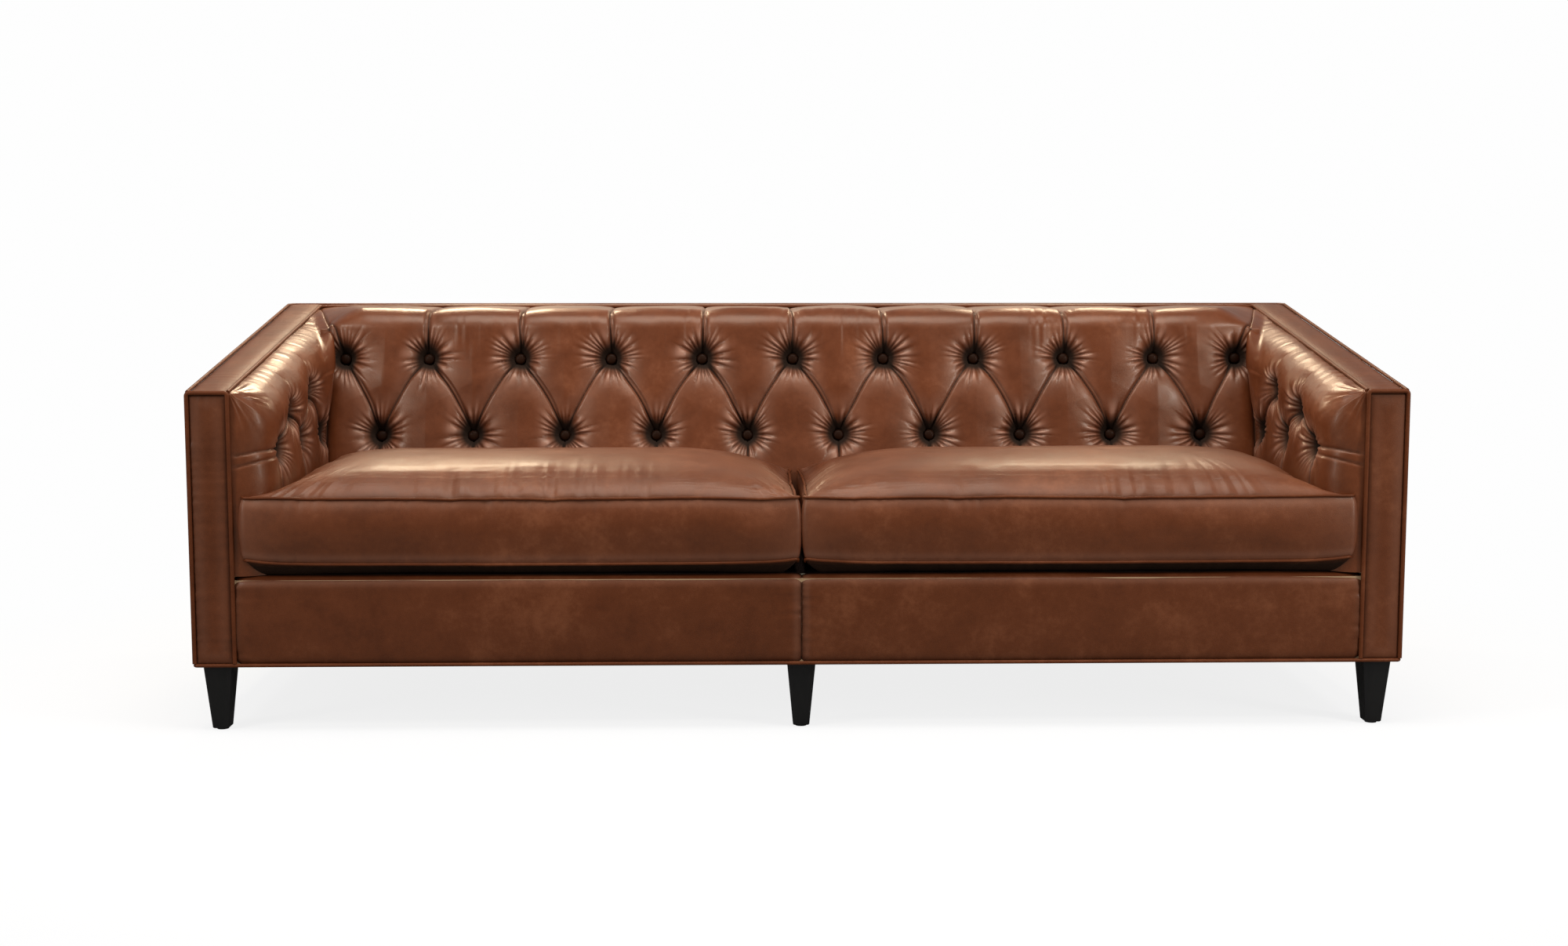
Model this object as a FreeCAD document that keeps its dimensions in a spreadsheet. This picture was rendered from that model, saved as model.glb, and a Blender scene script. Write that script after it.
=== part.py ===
import FreeCAD, Part
import math
import os
import re
import types

import Sketcher
from FreeCAD import Matrix, Vector

# A three-seat leather sofa with sloping arms, a buttoned inside back and two loose seat cushions.
# +X is the right of someone who looks at its front, +Y goes to its rear, and +Z is up.
# The origin is on the floor, in the middle of the sofa's footprint.

doc = FreeCAD.newDocument("leather_sofa")
sheet = doc.addObject("Spreadsheet::Sheet", "sizes")

driving_sizes = {
    # the whole sofa
    "overall_width": 2300,
    "overall_depth": 920,
    "overall_height": 794,
    "arm_front_height": 649,
    "arm_width": 79,
    "back_top_width": 72,
    "arm_setback": 5,
    "bend_setback": 54,
    "deck_height": 297,
    # leather, piping and clearances
    "skin": 6,
    "leather": 1.6,
    "welt": 7,
    "welt_proud": 3,
    "welt_bend": 6,
    "seat_gap": 0.3,
    "overrun": 2,
    # legs and what holds them
    "leg_height": 126,
    "leg_top": 54,
    "leg_foot": 31,
    "leg_inset": 16,
    "glide_height": 3,
    "glide_radius": 11,
    "bolt_radius": 4,
    "bolt_in_leg": 50,
    "bolt_above_block": 5,
    "bolt_clearance": 0.15,
    "bolt_from_rail": 20,
    "dust_hole_radius": 6,
    "nut_flange_radius": 11,
    "nut_flange": 1.5,
    "nut_barrel_radius": 5.5,
    "nut_barrel": 12,
    "block_size": 68,
    "block_height": 40,
    # wooden frame
    "dust_cover_thickness": 1,
    "rail_thickness": 28,
    "low_rail_height": 100,
    "stretcher_height": 80,
    "arm_post_depth": 40,
    "arm_rail_height": 30,
    "tack_rail_height": 40,
    "upright_thickness": 18,
    "back_board_thickness": 6,
    "top_board_thickness": 18,
    "top_rail_height": 28,
    "top_filling": 40,
    "seat_rail_height": 48,
    # springs and deck
    "spring_wire": 3.8,
    "spring_run": 46,
    "spring_pitch": 34,
    "spring_spacing": 172,
    "clip_depth": 6,
    "clip_width": 26,
    "clip_height": 14,
    "tie_wire": 2.4,
    "hessian": 1,
    "deck_cover_thickness": 1.4,
    "deck_drop": 17,
    # inside back
    "upper_row_height": 688,
    "lower_row_height": 525,
    "upper_row_setback": 575,
    "lower_row_setback": 535,
    "back_pad_depth": 100,
    "back_roll_radius": 60,
    "mitre_setback": 580,
    # inside arms
    "arm_pad_width": 81,
    "arm_roll_radius": 76,
    "arm_nose_radius": 80,
    "arm_lower_row_height": 529,
    "arm_row_drop": 91,
    # buttons and their pits
    "button_spacing": 197,
    "corner_button": 968,
    "button_radius": 12,
    "button_height": 7,
    "tuft_mouth": 56,
    "tuft_seat": 14,
    "pleat_depth": 13,
    "pleat_reach": 20,
    "twine_radius": 0.8,
    "twine_clearance": 0.4,
    "washer_radius": 9,
    "washer_thickness": 2,
    # seat cushions
    "cushion_gap": 8,
    "cushion_side_gap": 3,
    "cushion_rear_gap": 9,
    "cushion_nose": 6,
    "ear_reach": 1045,
    "cushion_round": 7,
    "seam_top": 444,
    "seam_bottom": 320,
    "crown": 70,
    "belly_slope": 48,
    "cover": 3,
    "pipe_radius": 2.5,
    "pipe_sink": 0.3,
    # cushion zips
    "zip_length": 800,
    "tape_width": 26,
    "tape_thickness": 0.8,
    "teeth_width": 5,
    "teeth_thickness": 1.6,
    "slider_length": 12,
    "slider_width": 10,
    "slider_wall": 1.2,
    "pull_length": 24,
    "pull_width": 6,
}

derived_sizes = {
    # the outer faces
    "half_width": "overall_width / 2",
    "front_y": "0 - overall_depth / 2",
    "rear_y": "overall_depth / 2",
    "welt_radius": "welt / 2",
    "face_side": "half_width - welt_proud",
    "face_front": "front_y + arm_setback + welt_proud",
    "face_rear": "rear_y - welt_proud",
    "face_top": "overall_height - welt_proud",
    "frame_side": "face_side - skin",
    "frame_front": "face_front + skin",
    "frame_rear": "face_rear - skin",
    "frame_bottom": "leg_height + dust_cover_thickness",
    # where the welts lie
    "welt_side": "half_width - welt_radius",
    "welt_front": "front_y + arm_setback + welt_radius",
    "welt_rear": "rear_y - welt_radius",
    "welt_bottom": "leg_height + welt_radius",
    "welt_inner": "half_width - arm_width",
    "welt_back": "rear_y - back_top_width",
    "welt_rise": "welt_proud - welt_radius",
    "welt_keep": "welt_radius + seat_gap",
    "panel_bottom": "welt_bottom + welt_keep",
    "panel_side": "welt_side - welt_keep",
    "panel_inner": "welt_inner + welt_keep",
    "pad_side": "welt_inner - welt_keep",
    "pad_rear": "welt_back - welt_keep",
    # the slope of the arms' tops
    "bend_y": "rear_y - bend_setback",
    "arm_front_face": "arm_front_height - welt_proud",
    "top_slope": "(face_top - arm_front_face) / (bend_y - face_front)",
    # the rake of the inside back
    "rake": "(upper_row_setback - lower_row_setback) / (upper_row_height - lower_row_height)",
    "pad_base": "deck_height + seat_gap",
    "top_board_top": "face_top - top_filling",
    "top_board_base": "top_board_top - top_board_thickness",
    "low_rail_top": "frame_bottom + low_rail_height",
    "rail_inner_front": "frame_front + rail_thickness",
    "rail_inner_rear": "frame_rear - rail_thickness",
    "rail_inner_side": "frame_side - rail_thickness",
    "post_front": "frame_rear - arm_post_depth - skin - block_size / 5",
    "block_top": "frame_bottom + block_height",
    # leg places
    "leg_x": "half_width - leg_inset - leg_top / 2",
    "leg_y": "0 - front_y - arm_setback - leg_inset - leg_top / 2",
    "bolt_x": "rail_inner_side - bolt_from_rail",
    "bolt_y": "0 - rail_inner_front - bolt_from_rail",
    # pads and cushions
    "arm_crest": "welt_inner - arm_pad_width",
    "tuft_depth": "tuft_mouth - tuft_seat",
    "cushion_inner": "cushion_gap / 2",
    "cushion_outer": "arm_crest - cushion_side_gap",
    "cushion_front": "front_y + cushion_nose",
    "cushion_middle": "(cushion_inner + cushion_outer) / 2",
    # springs
    "deck_layer_base": "deck_height - deck_drop",
    "spring_level": "deck_layer_base - spring_wire / 2 - seat_gap",
}


def fill_sheet():
    """Writes the driving sizes as plain numbers and the worked out ones as formulas."""
    row = 0
    for name, value in driving_sizes.items():
        row += 1
        sheet.set(f"A{row}", name)
        sheet.set(f"B{row}", str(value))
        sheet.setAlias(f"B{row}", name)
    for name, formula in derived_sizes.items():
        row += 1
        sheet.set(f"A{row}", name)
        sheet.set(f"B{row}", "=" + formula)
        sheet.setAlias(f"B{row}", name)
    doc.recompute()


fill_sheet()
names = [*driving_sizes, *derived_sizes]
size = types.SimpleNamespace(**{name: float(sheet.get(name)) for name in names})

# Counts and shares
inner_buttons = 4
spring_count = 12
upright_place_shares = (0.75, 2.75)
arm_lower_row_shares = (0.155, 0.381, 0.577)
arm_upper_row_shares = (0.271, 0.479)
crown_station_shares = (-1, -0.96, -0.86, -0.66, -0.35, 0, 0.35, 0.66, 0.86, 0.96, 1)
crown_place_shares = (-1, -0.93, -0.8, -0.5, 0, 0.5, 0.8, 0.93, 1)
crown_least_share = 0.07
button_rim_share = 0.3

kept = []


def keep(piece):
    """Marks a piece as one of the sofa's sub-parts."""
    kept.append(piece)
    return piece


def mm(formula):
    """A formula of the sheet's names, as an expression in millimetres."""
    return "(" + re.sub(r"[a-z][a-z_]+", r"sizes.\g<0>", formula) + ") * 1mm"


def slope_top(y, below="0"):
    """The height of the arms' sloping top face at y, less a depth."""
    return f"(arm_front_face + top_slope * (({y}) - face_front) - ({below}))"


def crest_y(z, behind="0"):
    """How far back the inside back's raked face is at the height z, plus a depth."""
    return f"(front_y + upper_row_setback + rake * (({z}) - upper_row_height) + ({behind}))"


def box(label, x, y, z):
    """A straight piece between two planes each way."""
    piece = doc.addObject("Part::Box", label)
    for (low, high), letter, side in zip((x, y, z), "xyz", ("Length", "Width", "Height"), strict=True):
        piece.setExpression(f"Placement.Base.{letter}", mm(low))
        piece.setExpression(side, mm(f"{high} - ({low})"))
    return piece


def rod(label, radius, low, high, x="0", y="0"):
    """An upright cylinder between two levels."""
    piece = doc.addObject("Part::Cylinder", label)
    piece.setExpression("Radius", mm(radius))
    piece.setExpression("Height", mm(f"{high} - ({low})"))
    for letter, place in zip("xyz", (x, y, low), strict=True):
        piece.setExpression(f"Placement.Base.{letter}", mm(place))
    return piece


def outline(body, role, level, points):
    """A closed sketch of straight lines, level away from one of the body's own origin planes."""
    sketch = body.newObject("Sketcher::SketchObject", body.Name + "_outline")
    plane = next(feature for feature in body.Origin.OriginFeatures if feature.Role == role)
    sketch.AttachmentSupport = [(plane, "")]
    sketch.MapMode = "FlatFace"
    sketch.setExpression("AttachmentOffset.Base.z", mm(level))
    turn = 2 * math.pi / len(points)
    rough = [
        Vector(math.cos(turn * i), math.sin(turn * i), 0) * size.overall_height
        for i in range(len(points))
    ]
    for i, start in enumerate(rough):
        sketch.addGeometry(Part.LineSegment(start, rough[(i + 1) % len(points)]), False)
    for i in range(len(points)):
        sketch.addConstraint(Sketcher.Constraint("Coincident", i, 2, (i + 1) % len(points), 1))
    for i, point in enumerate(points):
        for kind, place, formula in zip(("DistanceX", "DistanceY"), rough[i], point, strict=False):
            index = sketch.addConstraint(Sketcher.Constraint(kind, -1, 1, i, 1, place))
            sketch.setExpression(f"Constraints[{index}]", mm(formula))
    return sketch


def plate(label, low, high, points):
    """A piece with one outline, given as (y, z), all the way from x low to x high."""
    body = doc.addObject("PartDesign::Body", label)
    pad = body.newObject("PartDesign::Pad", label + "_pad")
    pad.Profile = outline(body, "YZ_Plane", low, points)
    pad.setExpression("Length", mm(f"{high} - ({low})"))
    return body


def mirrored(label, piece):
    """The same piece on the other side of the sofa's middle."""
    twin = doc.addObject("Part::Mirroring", label)
    twin.Source = piece
    twin.Normal = Vector(1, 0, 0)
    return twin


def group(label, pieces):
    """Several like pieces that share one name."""
    whole = doc.addObject("Part::Compound", label)
    whole.Links = pieces
    return whole


def both_sides(label, pieces):
    """Pieces of the right side with their twins on the left, under one name."""
    twins = [mirrored(f"{piece.Name}_twin", piece) for piece in pieces]
    return group(label, [*pieces, *twins])


def cut(label, piece, tool):
    """A piece less another."""
    rest = doc.addObject("Part::Cut", label)
    rest.Base = piece
    rest.Tool = tool
    return rest


def formed(label, shape):
    """A piece whose shape is worked out here, because it is soft, wound or drilled in many places."""
    piece = doc.addObject("Part::Feature", label)
    piece.Shape = shape
    return piece


def copies(label, piece, places):
    """Copies of one piece, each moved by a pair of formulas along X and Y."""
    links = []
    for i, (x, y) in enumerate(places):
        link = doc.addObject("App::Link", f"{label}_{i}")
        link.LinkedObject = piece
        link.LinkTransform = True
        link.setExpression("Placement.Base.x", mm(x))
        link.setExpression("Placement.Base.y", mm(y))
        links.append(link)
    return group(label, links)


# Legs

leg_places = {
    "leg_front_left": ("0 - leg_x", "0 - leg_y"),
    "leg_front_centre": ("0", "0 - leg_y"),
    "leg_front_right": ("leg_x", "0 - leg_y"),
    "leg_back_left": ("0 - leg_x", "leg_y"),
    "leg_back_centre": ("0", "leg_y"),
    "leg_back_right": ("leg_x", "leg_y"),
}
bolt_places = [
    (x.replace("leg_x", "bolt_x"), y.replace("leg_y", "bolt_y")) for x, y in leg_places.values()
]


def square(half):
    """The corners of a square about the origin, from half its side."""
    return [
        (f"0 - {half}", f"0 - {half}"),
        (half, f"0 - {half}"),
        (half, half),
        (f"0 - {half}", half),
    ]


def leg(label, x, y, bolt_x, bolt_y):
    """A square leg that tapers to its foot, bored from above for its bolt."""
    body = doc.addObject("PartDesign::Body", label)
    loft = body.newObject("PartDesign::AdditiveLoft", label + "_taper")
    loft.Profile = outline(body, "XY_Plane", "glide_height", square("leg_foot / 2"))
    loft.Sections = [outline(body, "XY_Plane", "leg_height", square("leg_top / 2"))]
    bore = body.newObject("PartDesign::SubtractiveCylinder", label + "_bore")
    bore.setExpression("Radius", mm("bolt_radius + bolt_clearance"))
    bore.setExpression("Height", mm("bolt_in_leg + overrun"))
    bore.setExpression("Placement.Base.x", mm(f"{bolt_x} - ({x})"))
    bore.setExpression("Placement.Base.y", mm(f"{bolt_y} - ({y})"))
    bore.setExpression("Placement.Base.z", mm("leg_height - bolt_in_leg"))
    body.setExpression("Placement.Base.x", mm(x))
    body.setExpression("Placement.Base.y", mm(y))
    return keep(body)


def legs():
    """Six legs, each with a nylon glide, and a bolt that screws into a nut in the frame's block."""
    for (label, place), bolt_place in zip(leg_places.items(), bolt_places, strict=True):
        leg(label, *place, *bolt_place)
    glide = rod("glide", "glide_radius", "0", "glide_height")
    keep(copies("leg_glides", glide, list(leg_places.values())))
    bolt = rod("bolt", "bolt_radius", "leg_height - bolt_in_leg", "block_top + bolt_above_block")
    barrel = rod("barrel", "nut_barrel_radius", "block_top - nut_barrel", "block_top")
    flange = rod("flange", "nut_flange_radius", "block_top", "block_top + nut_flange")
    nut_body = doc.addObject("Part::Fuse", "nut_body")
    nut_body.Base = barrel
    nut_body.Tool = flange
    nut_bore = rod(
        "nut_bore",
        "bolt_radius + bolt_clearance",
        "block_top - nut_barrel - overrun",
        "block_top + nut_flange + overrun",
    )
    nut = cut("nut", nut_body, nut_bore)
    fastener = group("fastener", [bolt, nut])
    keep(copies("leg_fasteners", fastener, bolt_places))


def corner_blocks():
    """The blocks that the legs bolt to: one in each corner of the frame, and two in the middle."""
    low_y, high_y = "rail_inner_front", "rail_inner_front + block_size"
    corner = box(
        "corner_block",
        ("rail_inner_side - block_size", "rail_inner_side"),
        (low_y, high_y),
        ("frame_bottom", "block_top"),
    )
    middle = box(
        "middle_block",
        ("0 - block_size / 2", "block_size / 2"),
        (low_y, high_y),
        ("frame_bottom", "block_top"),
    )
    rear_corner = box(
        "rear_corner_block",
        ("rail_inner_side - block_size", "rail_inner_side"),
        ("rail_inner_rear - block_size", "rail_inner_rear"),
        ("frame_bottom", "block_top"),
    )
    rear_middle = box(
        "rear_middle_block",
        ("0 - block_size / 2", "block_size / 2"),
        ("rail_inner_rear - block_size", "rail_inner_rear"),
        ("frame_bottom", "block_top"),
    )
    solid = group(
        "solid_blocks",
        [
            corner,
            mirrored("corner_block_twin", corner),
            rear_corner,
            mirrored("rear_corner_block_twin", rear_corner),
            middle,
            rear_middle,
        ],
    )
    shank = rod("shank_bore", "bolt_radius + bolt_clearance", "frame_bottom - overrun", "block_top")
    seat = rod("nut_seat", "nut_barrel_radius + bolt_clearance", "block_top - nut_barrel", "block_top")
    bore = doc.addObject("Part::Fuse", "block_bore")
    bore.Base = shank
    bore.Tool = seat
    bores = copies("block_bores", bore, bolt_places)
    keep(cut("leg_blocks", solid, bores))


# Wooden frame


def seat_frame():
    """The rails of the seat, from front to rear, and what stiffens them."""
    full = ("0 - frame_side", "frame_side")
    keep(
        box(
            "front_rail",
            full,
            ("frame_front", "rail_inner_front"),
            ("frame_bottom", "deck_height - skin"),
        )
    )
    keep(box("back_rail", full, ("rail_inner_rear", "frame_rear"), ("frame_bottom", "low_rail_top")))
    side = box(
        "side_rail",
        ("rail_inner_side", "frame_side"),
        ("rail_inner_front", "rail_inner_rear"),
        ("frame_bottom", "low_rail_top"),
    )
    keep(both_sides("side_rails", [side]))
    keep(
        box(
            "centre_stretcher",
            ("0 - rail_thickness / 2", "rail_thickness / 2"),
            ("rail_inner_front + block_size", "rail_inner_rear - block_size"),
            ("frame_bottom", "frame_bottom + stretcher_height"),
        )
    )
    keep(
        box(
            "back_seat_rail",
            ("0 - panel_inner", "panel_inner"),
            (crest_y("pad_base", "back_pad_depth"), crest_y("pad_base", "back_pad_depth + rail_thickness")),
            ("pad_base - seat_rail_height", "pad_base"),
        )
    )


def arm_frame():
    """The posts, rails and boards inside the arms."""
    frame_x = ("panel_inner", "frame_side")
    front_post = plate(
        "front_post",
        *frame_x,
        [
            ("frame_front", "deck_height - skin"),
            ("frame_front + arm_post_depth", "deck_height - skin"),
            ("frame_front + arm_post_depth", slope_top("frame_front + arm_post_depth", "skin")),
            ("frame_front", slope_top("frame_front", "skin")),
        ],
    )
    rear_post = plate(
        "rear_post",
        *frame_x,
        [
            ("post_front", "low_rail_top"),
            ("frame_rear", "low_rail_top"),
            ("frame_rear", "face_top - skin"),
            ("bend_y", "face_top - skin"),
            ("post_front", slope_top("post_front", "skin")),
        ],
    )
    keep(both_sides("arm_posts", [front_post, rear_post]))
    rail_front = "frame_front + arm_post_depth"
    top_rail = plate(
        "arm_top_rail",
        *frame_x,
        [
            (rail_front, slope_top(rail_front, "skin + arm_rail_height")),
            ("post_front", slope_top("post_front", "skin + arm_rail_height")),
            ("post_front", slope_top("post_front", "skin")),
            (rail_front, slope_top(rail_front, "skin")),
        ],
    )
    tack_rail = box(
        "arm_tack_rail",
        ("panel_inner", "panel_inner + rail_thickness"),
        (rail_front, "post_front"),
        ("deck_height", "deck_height + tack_rail_height"),
    )
    keep(both_sides("arm_rails", [top_rail, tack_rail]))


def arm_board():
    """The board behind the right arm's pad. Its rear end meets the back board."""
    lift = "welt_keep - welt_rise"
    rear_low = crest_y("pad_base", "back_pad_depth")
    rear_high = crest_y("top_board_base", "back_pad_depth")
    return plate(
        "arm_board",
        "pad_side",
        "panel_inner",
        [
            ("frame_front", "pad_base"),
            (rear_low, "pad_base"),
            (rear_high, "top_board_base"),
            (rear_high, slope_top(rear_high, lift)),
            ("frame_front", slope_top("frame_front", lift)),
        ],
    )


def back_frame():
    """The uprights, rails and boards behind and above the inside back."""
    front_low = crest_y("pad_base", "back_pad_depth + back_board_thickness")
    front_high = crest_y("top_board_base", "back_pad_depth + back_board_thickness")
    heel = crest_y("pad_base", "back_pad_depth + rail_thickness")
    side = [
        (front_low, "pad_base"),
        (heel, "pad_base"),
        ("rail_inner_rear", "low_rail_top"),
        ("frame_rear", "low_rail_top"),
        ("frame_rear", "face_top - skin - top_rail_height"),
        ("post_front", "face_top - skin - top_rail_height"),
        ("post_front", "top_board_base"),
        (front_high, "top_board_base"),
    ]
    places = [f"{share} * button_spacing" for share in upright_place_shares]
    places.append("panel_inner - upright_thickness")
    uprights = [
        plate(f"upright_{i}", place, f"{place} + upright_thickness", side)
        for i, place in enumerate(places)
    ]
    keep(both_sides("back_uprights", uprights))
    inner = ("0 - panel_inner", "panel_inner")
    keep(
        box(
            "back_top_rail",
            inner,
            ("post_front", "frame_rear"),
            ("face_top - skin - top_rail_height", "face_top - skin"),
        )
    )
    keep(
        box(
            "back_top_board",
            ("0 - pad_side", "pad_side"),
            (crest_y("top_board_top", "back_pad_depth"), "post_front"),
            ("top_board_base", "top_board_top"),
        )
    )


def back_board():
    """The raked board that the inside back's pad lies on."""
    depth = "back_pad_depth + back_board_thickness"
    return plate(
        "back_board_blank",
        "0 - pad_side",
        "pad_side",
        [
            (crest_y("pad_base", "back_pad_depth"), "pad_base"),
            (crest_y("pad_base", depth), "pad_base"),
            (crest_y("top_board_base", depth), "top_board_base"),
            (crest_y("top_board_base", "back_pad_depth"), "top_board_base"),
        ],
    )


# Springs and deck


def zigzag(start, end):
    """The path of one spring strand from one clip to the other, about x = 0."""
    half = size.spring_run / 2
    bend = size.spring_pitch / 2
    runs = int((end - start) / size.spring_pitch) - 1
    lead = (end - start - (runs - 1) * size.spring_pitch) / 2
    level = size.spring_level
    edges = []
    y = start + lead
    corner_round = bend / 2
    side = 1
    # the straight lead turns into the first run with a quarter turn
    a = Vector(0, start, level)
    b = Vector(0, y - corner_round, level)
    c = Vector(side * corner_round, y, level)
    middle = corner_round * (1 - math.sqrt(0.5))
    edges.append(Part.makeLine(a, b))
    edges.append(Part.Arc(b, Vector(side * middle, y - middle, level), c).toShape())
    at = c
    for _ in range(runs - 1):
        turn_in = Vector(side * half, y, level)
        turn_out = Vector(side * half, y + size.spring_pitch, level)
        edges.append(Part.makeLine(at, turn_in))
        top = Vector(side * (half + bend), y + bend, level)
        edges.append(Part.Arc(turn_in, top, turn_out).toShape())
        at = turn_out
        y += size.spring_pitch
        side = -side
    last = Vector(-side * corner_round, y, level)
    out = Vector(0, y + corner_round, level)
    edges.append(Part.makeLine(at, last))
    edges.append(Part.Arc(last, Vector(-side * middle, y + middle, level), out).toShape())
    edges.append(Part.makeLine(out, Vector(0, end, level)))
    return Part.Wire(edges)


def tube(path, radius):
    """A round rod along a path that starts along its first edge."""
    first = path.OrderedEdges[0]
    start = first.valueAt(first.FirstParameter)
    away = first.tangentAt(first.FirstParameter)
    ring = Part.Wire(Part.makeCircle(radius, start, away))
    return path.makePipeShell([ring], True, True)


def springs():
    """The wavy springs across the seat, their clips, and the wires that tie them."""
    front = size.rail_inner_front + size.clip_depth
    crest = size.front_y + size.upper_row_setback + size.rake * (size.pad_base - size.upper_row_height)
    rear = crest + size.back_pad_depth - size.clip_depth
    strand = tube(zigzag(front, rear), size.spring_wire / 2)
    first_x = -size.spring_spacing * (spring_count - 1) / 2
    places = [first_x + size.spring_spacing * i for i in range(spring_count)]
    strands = [strand.translated(Vector(x, 0, 0)) for x in places]
    keep(formed("seat_springs", Part.makeCompound(strands)))
    low = size.deck_layer_base - size.seat_gap - size.clip_height
    fittings = []
    for x in places:
        for y in (size.rail_inner_front, rear):
            corner = Vector(x - size.clip_width / 2, y, low)
            fittings.append(Part.makeBox(size.clip_width, size.clip_depth, size.clip_height, corner))
    wire_z = size.spring_level - size.spring_wire / 2 - size.tie_wire / 2 - size.seat_gap
    reach = places[-1] + size.spring_run
    for third in (1, 2):
        y = front + (rear - front) * third / 3
        start = Vector(-reach, y, wire_z)
        fittings.append(Part.makeCylinder(size.tie_wire / 2, 2 * reach, start, Vector(1, 0, 0)))
    keep(formed("spring_fittings", Part.makeCompound(fittings)))


def deck():
    """The layers on the springs that the cushions rest on."""
    x = ("0 - pad_side", "pad_side")
    y = ("rail_inner_front + seat_gap", crest_y("pad_base", "back_pad_depth - seat_gap"))
    hessian_top = "deck_layer_base + hessian"
    cover_base = "deck_height - deck_cover_thickness"
    keep(box("spring_hessian", x, y, ("deck_layer_base", hessian_top)))
    keep(box("deck_pad", x, y, (hessian_top, cover_base)))
    keep(box("deck_cover", x, y, (cover_base, "deck_height")))


# Buttons

rake_angle = math.atan(size.rake)
back_in = Vector(0, math.cos(rake_angle), -math.sin(rake_angle))
back_up = Vector(0, math.sin(rake_angle), math.cos(rake_angle))


def back_point(x, z):
    """A point on the raked face of the inside back."""
    y = size.front_y + size.upper_row_setback + size.rake * (z - size.upper_row_height)
    return Vector(x, y, z)


def arm_top(y):
    """The height of the arms' top face at y."""
    return size.arm_front_face + size.top_slope * (y - size.face_front)


def arm_point(y, z):
    """A point on the right arm's inside face."""
    return Vector(size.arm_crest, y, z)


def arm_y(share):
    """A place along the arm, from a share of the way from its front to the bend."""
    return size.face_front + share * (size.bend_y - size.face_front)


upper_row = [
    back_point(size.button_spacing * i, size.upper_row_height)
    for i in range(-inner_buttons, inner_buttons + 1)
]
corner_row = [back_point(side * size.corner_button, size.upper_row_height) for side in (-1, 1)]
lower_row = [
    back_point(size.button_spacing * (i + 0.5), size.lower_row_height)
    for i in range(-inner_buttons - 1, inner_buttons + 1)
]
arm_lower_row = [arm_point(arm_y(share), size.arm_lower_row_height) for share in arm_lower_row_shares]
arm_upper_row = [
    arm_point(arm_y(share), arm_top(arm_y(share)) - size.arm_row_drop)
    for share in arm_upper_row_shares
]
arm_in = Vector(1, 0, 0)
left_to_right = Matrix(-1, 0, 0, 0, 0, 1, 0, 0, 0, 0, 1, 0, 0, 0, 0, 1)


def side_of(axis):
    """Any direction square to an axis that isn't along X, or square to X."""
    other = Vector(0, 0, 1) if abs(axis.x) > 0.5 else Vector(1, 0, 0)
    return (other - axis * other.dot(axis)).normalize()


def tuft(point, into, inset):
    """What a button draws out of a pad: a pit with round shoulders, grown by the inset."""
    out = side_of(into)
    depth = size.tuft_depth

    def place(radius, down):
        return point + out * radius + into * down

    round_radius = depth - inset
    centre_r, centre_d = size.tuft_mouth, depth
    rim = place(centre_r, inset)
    seat = place(centre_r - round_radius, centre_d)
    diagonal = round_radius * math.sqrt(0.5)
    shoulder = place(centre_r - diagonal, centre_d - diagonal)
    floor = place(centre_r - round_radius, depth + inset + size.pipe_sink)
    axis_floor = place(0, depth + inset + size.pipe_sink)
    axis_top = place(0, -size.overrun)
    rim_top = place(centre_r, -size.overrun)
    edges = [
        Part.makeLine(axis_top, rim_top),
        Part.makeLine(rim_top, rim),
        Part.Arc(rim, shoulder, seat).toShape(),
        Part.makeLine(seat, floor),
        Part.makeLine(floor, axis_floor),
        Part.makeLine(axis_floor, axis_top),
    ]
    return Part.Face(Part.Wire(edges)).revolve(point, into, 360)


def pleat_section(inset):
    """The half width of a pleat at the pad's face, and its depth, grown by the inset."""
    lean = math.atan2(size.pleat_reach, size.pleat_depth)
    depth = size.pleat_depth + inset / math.sin(lean)
    return math.tan(lean), depth


def pleat(start, end, into, inset):
    """A straight fold between two places on a flat face."""
    spread, depth = pleat_section(inset)
    along = end - start
    across = along.cross(into).normalize()
    wide = (depth + size.overrun) * spread
    high = start - into * size.overrun
    points = [high + across * wide, high - across * wide, start + into * depth]
    return Part.Face(Part.makePolygon([*points, points[0]])).extrude(along)


def round_pleat(centre, axis, outward, radius, angle, inset):
    """A fold that goes round a roll, from the direction outward, by an angle about the roll's axis."""
    spread, depth = pleat_section(inset)
    wide = (depth + size.overrun) * spread
    rim = centre + outward * (radius + size.overrun)
    points = [rim + axis * wide, rim - axis * wide, centre + outward * (radius - depth)]
    face = Part.Face(Part.makePolygon([*points, points[0]]))
    return face.revolve(centre, axis, angle)


# Pads


def back_roll():
    """The centre of the roll along the top of the inside back, in the plane x = 0."""
    z = size.face_top - size.back_roll_radius
    on_face = back_point(0, z)
    y = on_face.y + size.back_roll_radius / math.cos(rake_angle)
    return Vector(0, y, z)


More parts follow.
